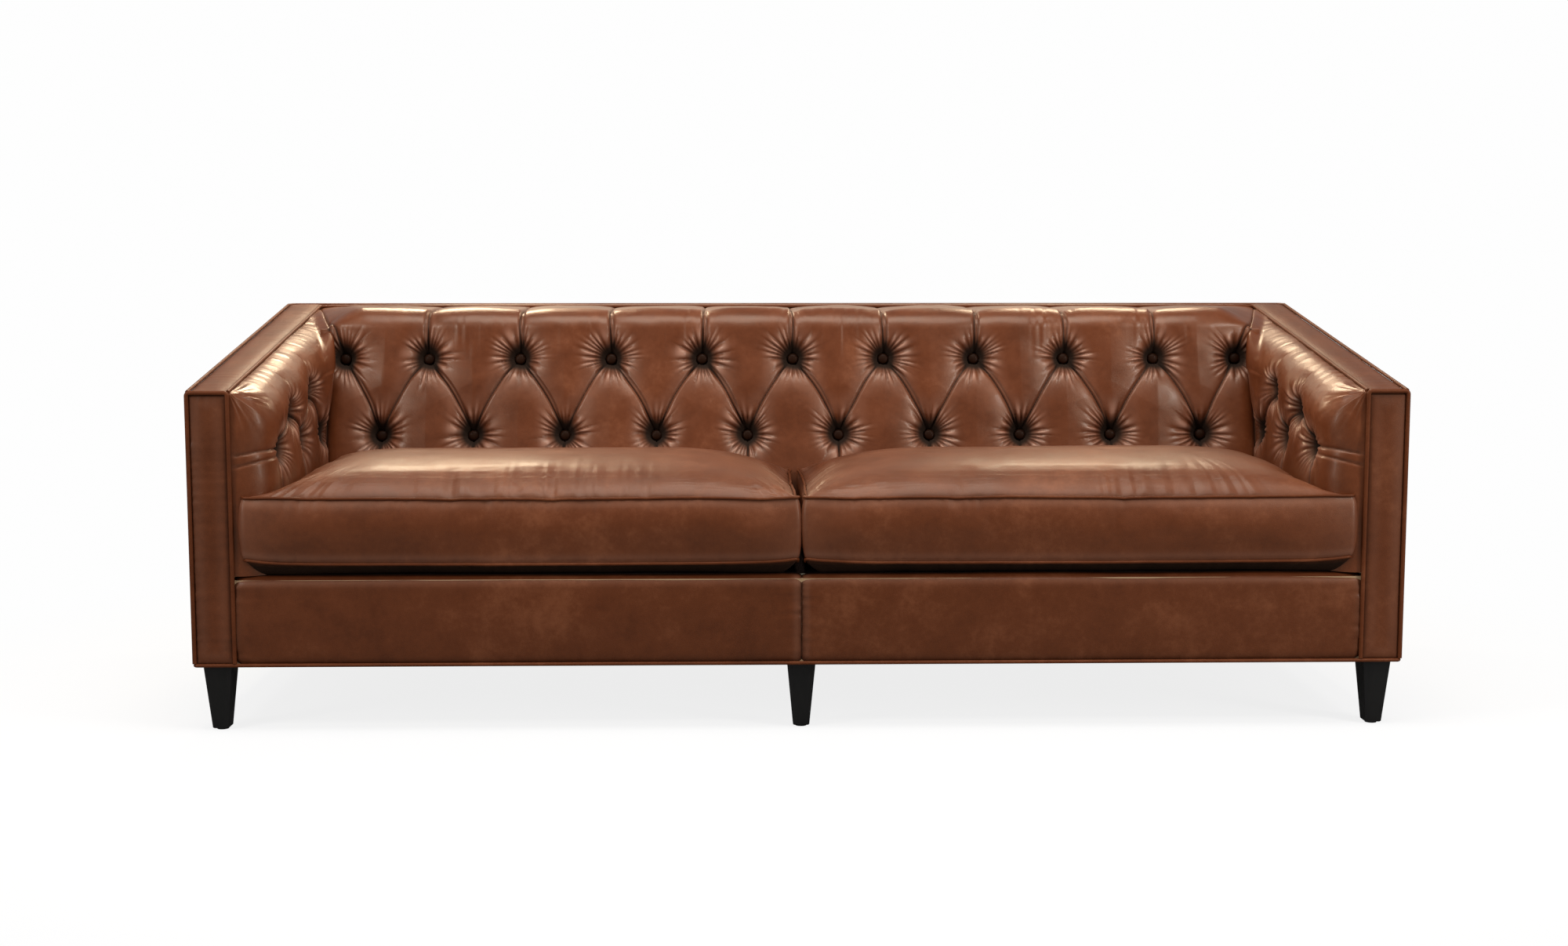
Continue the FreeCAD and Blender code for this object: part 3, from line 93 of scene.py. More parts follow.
def gridFaces(rows, columns, start=0, wrapRows=False, wrapColumns=False, flip=False):
    i = np.arange(rows if wrapRows else rows - 1)
    j = np.arange(columns if wrapColumns else columns - 1)
    i, j = (k.ravel() for k in np.meshgrid(i, j, indexing="ij"))
    a = i * columns + j
    b = ((i + 1) % rows) * columns + j
    c = ((i + 1) % rows) * columns + (j + 1) % columns
    d = i * columns + (j + 1) % columns
    faces = np.stack([a, b, c, d] if not flip else [d, c, b, a], axis=1)
    return faces + start


def addMesh(name, points, faces, material, body, replaced=(), values=None, smooth=True):
    mesh = bpy.data.meshes.new(name)
    points = np.asarray(points, dtype=np.float64).reshape(-1, 3)
    mesh.vertices.add(len(points))
    mesh.vertices.foreach_set("co", points.ravel())
    faces = np.asarray(faces)
    count, corners = faces.shape
    mesh.loops.add(count * corners)
    mesh.loops.foreach_set("vertex_index", faces.ravel())
    mesh.polygons.add(count)
    mesh.polygons.foreach_set("loop_start", np.arange(count) * corners)
    mesh.polygons.foreach_set("loop_total", np.full(count, corners))
    mesh.polygons.foreach_set("use_smooth", np.full(count, smooth))
    for key, data in (values or {}).items():
        layer = mesh.attributes.new(key, "FLOAT", "POINT")
        layer.data.foreach_set("value", np.asarray(data, dtype=np.float32).ravel())
    mesh.validate()
    mesh.update()
    piece = bpy.data.objects.new(name, mesh)
    bpy.context.scene.collection.objects.link(piece)
    finishPiece(piece, material, body, replaced)
    return piece


def finishPiece(piece, material, body, replaced=()):
    piece.data.materials.append(material)
    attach(piece, body)
    if replaced:
        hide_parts(*replaced)


def joinGrids(grids):  # several grids of points as one list of points and faces
    points, faces, start = [], [], 0
    for grid, options in grids:
        rows, columns = grid.shape[:2]
        points.append(grid.reshape(-1, 3))
        faces.append(gridFaces(rows, columns, start, **options))
        start += rows * columns
    return np.concatenate(points), np.concatenate(faces)


def mirrorX(points):
    return points * np.array([-1, 1, 1])


# materials


def newGroup(name, inputs, outputs):
    group = bpy.data.node_groups.new(name, "ShaderNodeTree")
    for label, kind, value in inputs:
        socket = group.interface.new_socket(label, in_out="INPUT", socket_type="NodeSocket" + kind)
        if value is not None:
            socket.default_value = value
    for label, kind in outputs:
        group.interface.new_socket(label, in_out="OUTPUT", socket_type="NodeSocket" + kind)
    return group, group.nodes.new("NodeGroupInput"), group.nodes.new("NodeGroupOutput")


class Nodes:  # short hand for building a node tree
    def __init__(self, tree):
        self.tree = tree

    def fill(self, node, values):  # an output is linked to its socket, a plain value is set
        for key, value in values.items():
            socket = node.inputs[key]
            if hasattr(value, "is_output"):
                self.tree.links.new(value, socket)
            else:
                colour = socket.type == "RGBA" and len(value) == 3
                socket.default_value = (*value, 1) if colour else value
        return node

    def add(self, kind, links=(), **settings):
        node = self.tree.nodes.new("ShaderNode" + kind)
        for key, value in settings.items():
            setattr(node, key, value)
        return self.fill(node, dict(links))

    def noise(self, vector, scale, detail=2.0, rough=0.5, distortion=0.0):
        links = {"Vector": vector, "Scale": scale, "Detail": detail, "Roughness": rough,
                 "Distortion": distortion}
        return self.add("TexNoise", links).outputs["Fac"]

    def math(self, operation, a, b=0.0):
        return self.add("Math", {0: a, 1: b}, operation=operation).outputs[0]

    def times(self, a, b):
        return self.math("MULTIPLY", a, b)

    def scaled(self, value, factor, plus):
        return self.add("Math", {0: value, 1: factor, 2: plus}, operation="MULTIPLY_ADD").outputs[0]

    def ramp(self, value, low, high, toLow=0.0, toHigh=1.0):
        links = {"Value": value, "From Min": low, "From Max": high, "To Min": toLow, "To Max": toHigh}
        return self.add("MapRange", links, interpolation_type="SMOOTHSTEP").outputs["Result"]

    def mix(self, share, a, b):
        return self.add("Mix", {0: share, 6: a, 7: b}, data_type="RGBA", clamp_factor=True).outputs[2]

    def bump(self, shader, height, strength, distance):
        node = self.add("Bump", {"Height": height, "Strength": strength, "Distance": distance})
        self.fill(shader, {"Normal": node.outputs["Normal"]})


def makeGrainGroup():  # pebbled hide: cells, fine pores and a few long creases
    group, given, out = newGroup(
        "hideGrain",
        [("Vector", "Vector", None), ("Cell Size", "Float", 0.0022), ("Pebble", "Float", 0.5),
         ("Crease", "Float", 0.5)],
        [("Height", "Float")],
    )
    n = Nodes(group)
    place = given.outputs["Vector"]
    scale = n.math("DIVIDE", 1.0, given.outputs["Cell Size"])
    warp = n.add("TexNoise", {"Vector": place, "Scale": 90.0, "Detail": 2.0})
    moved = n.add("VectorMath", {0: warp.outputs["Color"], "Scale": 0.004}, operation="SCALE")
    vector = n.add("VectorMath", {0: place, 1: moved.outputs[0]}, operation="ADD")
    cells = n.add("TexVoronoi", {"Vector": vector.outputs[0], "Scale": scale}, feature="DISTANCE_TO_EDGE")
    pebble = n.ramp(cells.outputs["Distance"], 0.0, 0.35)
    pores = n.noise(place, 2600.0, 1.0)
    bent = n.add("TexNoise", {"Vector": place, "Scale": 14.0, "Detail": 3.0})
    bend = n.add("VectorMath", {0: bent.outputs["Color"], "Scale": 0.05}, operation="SCALE")
    along = n.add("VectorMath", {0: place, 1: bend.outputs[0]}, operation="ADD")
    veins = n.add("TexVoronoi", {"Vector": along.outputs[0], "Scale": 34.0}, feature="DISTANCE_TO_EDGE")
    vein = n.ramp(veins.outputs["Distance"], 0.0, 0.05, 1.0, 0.0)
    patch = n.ramp(n.noise(place, 9.0, 2.0), 0.5, 0.68)
    creases = n.times(vein, patch)
    fine = n.times(pebble, given.outputs["Pebble"])
    porous = n.times(pores, 0.25)
    creased = n.times(creases, given.outputs["Crease"])
    n.fill(out, {"Height": n.math("SUBTRACT", n.math("ADD", fine, porous), creased)})
    return group


def makeToneGroup():  # waxed hide: cloudy tone, pale stretched places that also carry a painted highlight, and near-black painted shade in folds
    group, given, out = newGroup(
        "pullUpTone",
        [("Vector", "Vector", None), ("Deep", "Color", None), ("Body", "Color", None),
         ("Pale", "Color", None), ("Tautsheen", "Color", None), ("StretchSheen", "Float", 0.0),
         ("PaintedShade", "Float", 0.0), ("Cloud", "Float", 0.5)],
        [("Color", "Color"), ("Rough", "Float")],
    )
    n = Nodes(group)
    vector = given.outputs["Vector"]
    broad = n.noise(vector, 3.2, 3.0, 0.55, 0.6)
    middle = n.noise(vector, 15.0, 4.0, 0.6, 0.3)
    small = n.noise(vector, 85.0, 4.0, 0.65)
    specks = n.noise(vector, 420.0, 2.0, 0.5)
    cloud = n.math("ADD", n.times(broad, 0.45), n.times(middle, 0.35))
    cloud = n.math("ADD", cloud, n.times(small, 0.2))
    dark = n.times(n.ramp(cloud, 0.53, 0.36), given.outputs["Cloud"])
    pale = n.times(n.ramp(cloud, 0.5, 0.68), given.outputs["Cloud"])
    tone = n.mix(dark, given.outputs["Body"], given.outputs["Deep"])
    tone = n.mix(pale, tone, given.outputs["Pale"])
    scuffs = n.times(n.ramp(n.noise(vector, 55.0, 6.0, 0.7, 1.5), 0.64, 0.78), 0.15)
    tone = n.mix(scuffs, tone, given.outputs["Pale"])
    speck = n.times(n.ramp(specks, 0.56, 0.75), 0.18)
    tone = n.mix(speck, tone, given.outputs["Deep"])
    # pale taut colour: paler stretched leather, also a painted highlight
    tone = n.mix(given.outputs["StretchSheen"], tone, given.outputs["Tautsheen"])
    # near-black painted shade in pits, creases, seams and gaps
    shade = n.mix(given.outputs["PaintedShade"], tone, (0.006, 0.0018, 0.0008))
    rough = n.math("ADD", n.scaled(middle, 0.22, -0.11), n.times(small, 0.10))
    n.fill(out, {"Color": shade, "Rough": rough})
    return group


grainGroup = makeGrainGroup()
toneGroup = makeToneGroup()


def newMaterial(name):
    material = bpy.data.materials.new(name)
    material.use_nodes = True
    tree = material.node_tree
    shader = next(node for node in tree.nodes if node.type == "BSDF_PRINCIPLED")
    n = Nodes(tree)
    return material, n, shader, n.add("TexCoord").outputs["Object"]


def useGroup(n, group, links):
    node = n.tree.nodes.new("ShaderNodeGroup")
    node.node_tree = group
    return n.fill(node, links)


# the pale pinkish taut colour is paler stretched leather and also a painted highlight
hide = dict(
    deep=(0.062, 0.0145, 0.0045), body=(0.128, 0.0325, 0.0100), pale=(0.265, 0.088, 0.037),
    tautsheen=(0.50, 0.28, 0.20), coat=0.08, coatRoughness=0.18, grainDepth=0.00022, cell=0.0024,
    specular=0.34, warm=(1.0, 0.80, 0.62), coatTint=(1.0, 0.86, 0.70),
)


def makeLeather(name, tint, roughness, cloud, pebble, crease, cell=hide["cell"], gloss=1.0):
    material, n, shader, place = newMaterial(name)
    # two painted masks: a paler stretched tone that also paints highlight, and painted shade that darkens
    # the colour and dulls its gloss
    stretchSheen = n.add("Attribute", attribute_name="stretchSheen").outputs["Fac"]
    paintedShade = n.add("Attribute", attribute_name="paintedShade").outputs["Fac"]
    grain = useGroup(n, grainGroup,
                     {"Vector": place, "Cell Size": cell, "Pebble": pebble, "Crease": crease})
    colours = {key: tuple(c * tint for c in hide[key.lower()]) for key in ("Deep", "Body", "Pale", "Tautsheen")}
    tone = useGroup(n, toneGroup, {"Vector": place, **colours, "StretchSheen": stretchSheen, "PaintedShade": paintedShade,
                                   "Cloud": cloud})
    rough = n.math("ADD", tone.outputs["Rough"], roughness)
    n.fill(shader, {
        "Base Color": tone.outputs["Color"],
        "Roughness": n.math("ADD", rough, n.times(paintedShade, 0.65)),
        "Specular IOR Level": hide["specular"] * gloss,
        "Specular Tint": hide["warm"],
        "Coat Weight": n.times(n.math("SUBTRACT", 1.0, paintedShade), hide["coat"] * gloss),
        "Coat Roughness": hide["coatRoughness"],
        "Coat Tint": hide["coatTint"],
    })
    n.bump(shader, grain.outputs["Height"], 0.6, hide["grainDepth"])
    return material


def makeWeave(name, colour, darker, thread):
    material, n, shader, place = newMaterial(name)
    wave = {"Vector": place, "Scale": 0.16 / thread, "Distortion": 0.4, "Detail": 1.0}
    warp, weft = (n.add("TexWave", wave, bands_direction=way).outputs["Fac"] for way in "XY")
    cross = n.math("MAXIMUM", warp, weft)
    slubs = n.noise(place, 60.0, 3.0)
    tone = n.mix(n.times(slubs, cross), darker, colour)
    n.fill(shader, {"Base Color": tone, "Roughness": n.scaled(slubs, 0.1, 0.82)})
    n.bump(shader, cross, 0.5, thread * 0.3)
    return material


def makeWood(name, pale, dark, roughness, grainScale, depth=0.0002, upright=False, specular=0.5):
    material, n, shader, place = newMaterial(name)
    grainWay = (1.0, 1.0, 0.06) if upright else (0.06, 1.0, 1.0)
    vector = n.add("Mapping", {"Vector": place, "Scale": grainWay}).outputs[0]
    rings = n.noise(vector, grainScale, 5.0, 0.6, 1.2)
    fibres = n.noise(vector, grainScale * 14, 3.0, 0.6)
    lines = n.math("ADD", n.times(rings, 0.7), n.times(fibres, 0.3))
    n.fill(shader, {
        "Base Color": n.mix(n.ramp(lines, 0.35, 0.65), dark, pale),
        "Roughness": n.scaled(fibres, 0.18, roughness - 0.09),
        "Specular IOR Level": specular,
    })
    n.bump(shader, lines, 0.4, depth)
    return material


def makeMetal(name, pale, dark, roughness):
    material, n, shader, place = newMaterial(name)
    stains = n.noise(place, 45.0, 5.0, 0.65)
    fine = n.noise(place, 700.0, 2.0)
    n.fill(shader, {
        "Base Color": n.mix(n.ramp(stains, 0.35, 0.7), dark, pale),
        "Roughness": n.scaled(fine, 0.2, roughness - 0.1),
        "Metallic": 1.0,
    })
    return material


def makeFoam(name, colour):
    material, n, shader, place = newMaterial(name)
    cells = n.add("TexVoronoi", {"Vector": place, "Scale": 900.0}).outputs["Distance"]
    aged = n.mix(n.noise(place, 12.0, 3.0), tuple(c * 0.8 for c in colour), colour)
    n.fill(shader, {"Base Color": aged, "Roughness": 0.95})
    n.bump(shader, cells, 0.5, 0.0005)
    return material


# the panel and seat leathers are darker copies of the same hide, painted shade for the upright panels and
# boxing
leather = dict(
    tufted=makeLeather("tuftedLeather", 1.02, 0.29, 0.50, 0.45, 0.35, gloss=1.35),
    seat=makeLeather("seatLeatherShaded", 0.93, 0.38, 0.5, 0.5, 0.6),
    panel=makeLeather("panelLeatherShaded", 0.84, 0.40, 0.5, 0.5, 0.5, gloss=0.8),
    piping=makeLeather("pipingLeather", 0.85, 0.46, 0.5, 0.4, 0.3, 0.0018, gloss=0.5),
    # the button leather's very low tint is painted shade for buttons sunk in their pits
    button=makeLeather("buttonLeatherShaded", 0.11, 0.50, 0.4, 0.4, 0.2, 0.0018, gloss=0.3),
)
plain = dict(
    leg=makeWood("blackStainedWood", (0.007, 0.0068, 0.0065), (0.004, 0.004, 0.004), 0.42, 26.0,
                 depth=0.00012, upright=True, specular=0.25),
    frame=makeWood("sawnHardwood", (0.50, 0.34, 0.19), (0.33, 0.21, 0.11), 0.75, 30.0),
    ply=makeWood("sandedPlywood", (0.58, 0.43, 0.26), (0.42, 0.29, 0.16), 0.7, 22.0),
    steel=makeMetal("oiledSteel", (0.42, 0.42, 0.42), (0.20, 0.19, 0.18), 0.38),
    brass=makeMetal("oldBrass", (0.42, 0.29, 0.11), (0.20, 0.12, 0.05), 0.35),
    hessian=makeWeave("hessianCloth", (0.38, 0.27, 0.14), (0.16, 0.10, 0.05), 0.0024),
    deck=makeWeave("deckCloth", (0.060, 0.026, 0.014), (0.020, 0.008, 0.005), 0.0016),
    dust=makeWeave("dustCloth", (0.014, 0.014, 0.014), (0.005, 0.005, 0.005), 0.0010),
    tape=makeWeave("zipTape", (0.060, 0.030, 0.018), (0.022, 0.010, 0.006), 0.0008),
    twine=makeWeave("waxedTwine", (0.45, 0.38, 0.26), (0.22, 0.17, 0.10), 0.0006),
    foam=makeFoam("paddingFoam", (0.72, 0.66, 0.50)),
    nylon=makeFoam("mouldedNylon", (0.03, 0.03, 0.03)),
)
print("materials made")

# buttoned inside back and arms

tuft = dict(
    pitDepth=0.042, pitReach=0.0255, pitPower=1.9, bowlShare=0.30, bowlReach=0.056, seatRadius=0.012,
    pleatDepth=0.0095, pleatReach=0.030, lineDepth=0.0054, lineReach=0.0023, bow=0.007, lap=0.0023,
    ripples=23, rippleHeight=0.0036, rippleAt=0.033, rippleSpread=0.018,
    spacing=0.197, corner=0.968, upperZ=0.688, lowerZ=0.525,
)


def pitField(a, b, centre, depth, seed):  # a button's pit, and the small folds that run out of it
    dx, dy = a - centre[0], b - centre[1]
    r = np.hypot(dx, dy)
    angle = np.arctan2(dy, dx)
    pit = depth * (1 - tuft["bowlShare"]) * np.exp(-((r / tuft["pitReach"]) ** tuft["pitPower"]))
    pit = pit + depth * tuft["bowlShare"] * np.exp(-((r / tuft["bowlReach"]) ** 1.5))
    pit = np.where(r < tuft["seatRadius"] * 1.15, np.maximum(pit, depth * 0.9), pit)
    rng = np.random.default_rng(seed)
    count = tuft["ripples"] + int(rng.integers(-2, 3))
    knots = rng.uniform(0.25, 1.0, count)
    phase = rng.uniform(0, 2 * math.pi)
    turn = (angle + math.pi) / (2 * math.pi) * count + 0.45 * np.sin(angle * 2 + phase) \
        + 0.3 * np.sin(angle * 5 + 2 * phase)
    cell = np.floor(turn).astype(int) % count
    part = turn - np.floor(turn)
    strength = knots[cell]
    shape = (0.5 - 0.5 * np.cos(2 * math.pi * part)) ** 0.7  # rounded ridges with sharp valleys
    lengths = rng.uniform(0.6, 1.6, count)[cell]
    away = r - tuft["rippleAt"]
    reach = np.where(away < 0, 0.013, tuft["rippleSpread"] * lengths)
    window = np.exp(-((away / reach) ** 2))
    return pit, (shape - 0.5) * 2 * strength * window * tuft["rippleHeight"]


def segmentField(a, b, start, end, bow):  # distance from a bowed line, place along it, and its side
    start, end = np.array(start), np.array(end)
    along = end - start
    length = np.hypot(*along)
    along = along / length
    t = np.clip(((a - start[0]) * along[0] + (b - start[1]) * along[1]) / length, 0, 1)
    px, py = start[0] + along[0] * length * t, start[1] + along[1] * length * t
    side = (a - start[0]) * along[1] - (b - start[1]) * along[0]
    side = side - bow * np.sin(math.pi * t)
    return np.where((t > 0) & (t < 1), np.abs(side), np.hypot(a - px, b - py)), t, side


def tuftDepth(a, b, pits, pleats, seed):
    depth = np.zeros_like(a)
    ripple = np.zeros_like(a)
    paintedShade = np.zeros_like(a)
    for k, (centre, scale) in enumerate(pits):
        pit, wave = pitField(a, b, centre, tuft["pitDepth"] * scale, seed + k)
        depth = np.maximum(depth, pit) + 0.15 * np.minimum(depth, pit)
        ripple += wave
    pleated = np.zeros_like(a)
    for start, end, strengthStart, strengthEnd, second in pleats:
        wobble = 0.0022 * noise(seed + 50, a, b, 0.06)
        slant = end[0] - start[0] if abs(end[0] - start[0]) > 0.04 and start[1] > end[1] else 0
        bow = -math.copysign(tuft["bow"], slant) if slant else 0
        distance, t, side = segmentField(a + wobble, b, start, end, bow)
        strength = strengthStart + (strengthEnd - strengthStart) * t
        sunk = tuft["pleatDepth"] * strength * np.exp(-distance / tuft["pleatReach"])
        pleated = np.maximum(pleated, sunk)
        lines = [(distance, 1.0)]  # a pleat shows as one line, or two close ones
        if second:
            beside = np.abs(side - second * np.sin(math.pi * (0.12 + 0.76 * t)))
            lines.append((np.maximum(beside, distance - abs(second) * 1.3), 0.7))
        for away, weight in lines:
            groove = np.exp(-((away / tuft["lineReach"]) ** 1.5)) * np.minimum(strength * 1.2, 1) * weight
            depth += tuft["lineDepth"] * groove
            # the dark pleat lines are painted shade
            paintedShade = np.maximum(paintedShade, 0.95 * groove**2)
        depth += tuft["lap"] * strength * np.exp(-distance / 0.011) * np.tanh(side / 0.0025)
    depth += pleated * (1 - np.clip(depth / tuft["pitDepth"], 0, 1) * 0.7)
    deep = np.clip(depth / tuft["pitDepth"], 0, 1.2)
    # painted shade in the pits, stronger with depth, and in the ripple valleys
    paintedShade = np.clip(0.95 * paintedShade + ramp(0.30, 0.72, deep) * 0.98, 0, 0.985)
    paintedShade = paintedShade + np.clip(-ripple / tuft["rippleHeight"], 0, 1) * 0.40 * (1 - paintedShade)
    # paler pit rims and ripple crests: stretched leather with a painted highlight
    rim = ramp(0.10, 0.20, deep) * (1 - ramp(0.26, 0.42, deep))
    crest = np.clip(ripple / tuft["rippleHeight"] * 1.5, 0, 1)
    stretchSheen = rim * (0.06 + 0.55 * crest) + (1 - rim) * crest * 0.22
    return depth - ripple, paintedShade, np.clip(stretchSheen, 0, 0.8)


backPad = dict(
    rollRadius=0.060, baseZ=0.2976, rearY=0.3846, column=0.0020, row=0.0021, tuck=0.006,
    mitreStart=(0.990, 0.120), mitreEnd=(1.071, 0.388), blend=0.075, cornerDrop=0.030, crossing=0.009,
    wrinkles=0.0009, uneven=0.0016, fine=0.0007, sag=0.0030, seamDepth=0.011,
)


def mitreShare(value, axis):  # 0 at the front end of the corner seam, 1 at its rear end
    low, high = backPad["mitreStart"][axis], backPad["mitreEnd"][axis]
    return (value - low) / (high - low)


def mitreX(y):
    low, high = backPad["mitreStart"][0], backPad["mitreEnd"][0]
    return low + (high - low) * np.clip(mitreShare(y, 1), 0, 1.05)


def mitreY(x):
    low, high = backPad["mitreStart"][1], backPad["mitreEnd"][1]
    return low + (high - low) * mitreShare(x, 0)


def backProfile():
    angle, radius = rake["angle"], backPad["rollRadius"]
    cz = sofa["faceTop"] - radius
    cy = crestY(cz) + radius / math.cos(angle)
    startY, startZ = cy - radius * math.cos(angle), cz + radius * math.sin(angle)
    flat = (startZ - backPad["baseZ"]) / math.cos(angle)
    arc = radius * (math.pi / 2 - angle)
    top = backPad["rearY"] - cy
    total = flat + arc + top + backPad["tuck"]
    hidden = backS(tuft["lowerZ"]) - 0.075
    shown = np.linspace(hidden, total, int((total - hidden) / backPad["row"]))
    s = np.concatenate([np.arange(0, hidden, 0.005), shown])
    y, z, ny, nz = (np.zeros_like(s) for _ in range(4))
    for k, at in enumerate(s):
        if at < flat:
            y[k] = startY - (flat - at) * math.sin(angle)
            z[k] = startZ - (flat - at) * math.cos(angle)
            ny[k], nz[k] = -math.cos(angle), math.sin(angle)
        elif at < flat + arc:
            turn = angle + (at - flat) / radius
            ny[k], nz[k] = -math.cos(turn), math.sin(turn)
            y[k], z[k] = cy + radius * ny[k], cz + radius * nz[k]
        elif at < flat + arc + top:
            y[k], z[k], ny[k], nz[k] = cy + at - flat - arc, cz + radius, 0, 1
        else:  # runs on under the welt
            y[k], z[k], ny[k], nz[k] = cy + at - flat - arc, cz + radius - 0.0035, 0, 1
    return s, y, z, ny, nz, flat, arc, top


def backS(z):  # how far up the raked face a height is
    return (z - backPad["baseZ"]) / math.cos(rake["angle"])


def makeBack():
    s, py, pz, ny, nz, flat, arc, top = backProfile()
    inner = sofa["armCrest"]
    columns = np.linspace(-inner, inner, int(2 * inner / backPad["column"]))  # even steps across
    extra = np.linspace(0, 1, 26)[1:]
    beyond = np.maximum(mitreX(py) + 0.008, inner + 0.030 * (1 - ramp(flat, flat + arc, s)))
    right = inner + extra[:, None] * (beyond - inner)[None, :]
    x = np.concatenate([-right[::-1], np.repeat(columns[:, None], len(s), 1), right])
    run = np.repeat(s[None, :], len(x), 0)
    restY, restZ, faceY, faceZ = (np.repeat(v[None, :], len(x), 0) for v in (py, pz, ny, nz))
    upper, lower = backS(tuft["upperZ"]), backS(tuft["lowerZ"])
    tops = [tuft["spacing"] * i for i in range(-4, 5)]
    lows = [tuft["spacing"] * (i + 0.5) for i in range(-5, 5)]
    corners = [-tuft["corner"], tuft["corner"]]
    pits = [((c, upper), 1.0) for c in [*tops, *corners]] + [((c, lower), 1.0) for c in lows]
    pleats = []
    for low in lows:
        for high in [*tops, *corners]:
            if abs(high - low) < tuft["spacing"] * 0.75:
                pleats.append(((high, upper), (low, lower), 1.0, 1.0, -0.0065 if low > high else 0))
        pleats.append(((low, lower), (low, 0), 0.9, 0.6, 0))
    for k, high in enumerate(tops):
        swerve = 0.004 * math.sin(k * 2.4)
        pleats.append(((high, upper), (high + swerve, flat + arc), 1.0, 0.9, 0.0075 if k % 4 else -0.0075))
        pleats.append(((high + swerve, flat + arc), (high + swerve, flat + arc + top), 0.9, 0.45, 0))
    for high in corners:
        pleats.append(((high, upper), (high * 1.04, flat + arc * 0.8), 1.2, 0.6, 0))
    depth, paintedShade, stretchSheen = tuftDepth(x, run, pits, pleats, 11)
    # small upright wrinkles over the roll, and a soft unevenness all over
    onRoll = ramp(flat - 0.09, flat - 0.01, run) * (1 - ramp(flat + arc, flat + arc + 0.09, run))
    patchy = ramp(-0.3, 0.6, noise(32, x, run, 0.11))
    depth += backPad["wrinkles"] * onRoll * noise(31, x, run, 0.0085, 0.09) * patchy
    depth += backPad["uneven"] * noise(33, x, run, 0.11) + backPad["fine"] * noise(34, x, run, 0.035)
    # the top sags a little towards the welt, and its end tucks under it
    depth += backPad["sag"] * ramp(flat + arc + top * 0.6, flat + arc + top, run)
    edge = mitreX(restY)
    inside = edge + backPad["crossing"] - np.abs(x)
    depth += backPad["seamDepth"] * np.exp(-np.clip(inside, 0, 1) / 0.012)
    # painted shade along the corner seam
    paintedShade = np.maximum(paintedShade, 0.9 * np.exp(-np.abs(inside) / 0.003))
    toFront = 1 - np.clip(mitreShare(restY, 1), 0, 1)
    drop = ramp(0, 1, 1 - (edge - np.abs(x)) / backPad["blend"]) * toFront * backPad["cornerDrop"]
    drop = drop * ramp(flat, flat + arc, run)
    skirt = np.clip(np.abs(x) - edge, 0, 1) * 3.0 * ramp(flat, flat + arc, run)
    points = np.stack([x, restY - faceY * depth, restZ - faceZ * depth - drop - skirt], axis=2)
    faces = gridFaces(*x.shape, flip=True)
    piece = addMesh("insideBack", points, faces, leather["tufted"], "sofa_body",
                    ("inside_back_leather", "inside_back_foam"), {"paintedShade": paintedShade, "stretchSheen": stretchSheen})
    return [(c, upper) for c in [*tops, *corners]], [(c, lower) for c in lows]


armPad = dict(
    thickness=0.0772, noseRadius=0.080, rollRadius=0.076, frontY=-0.4472, baseZ=0.2986, step=0.0022,
    lowerShares=(0.155, 0.381, 0.577), upperShares=(0.271, 0.479), lowerZ=0.529, drop=0.091,
    swell=0.013, wrinkles=0.0011, cornerWrinkles=0.0022, uneven=0.0016, fine=0.0007, seamDepth=0.010,
    lift=0.030, edge=(1.0728, -0.4476), joinY=0.020, joinColumns=90, lowSpan=0.27, pleatSpan=0.147,
)


def armAt(share):
    return sofa["faceFront"] + share * (sofa["bendY"] - sofa["faceFront"])


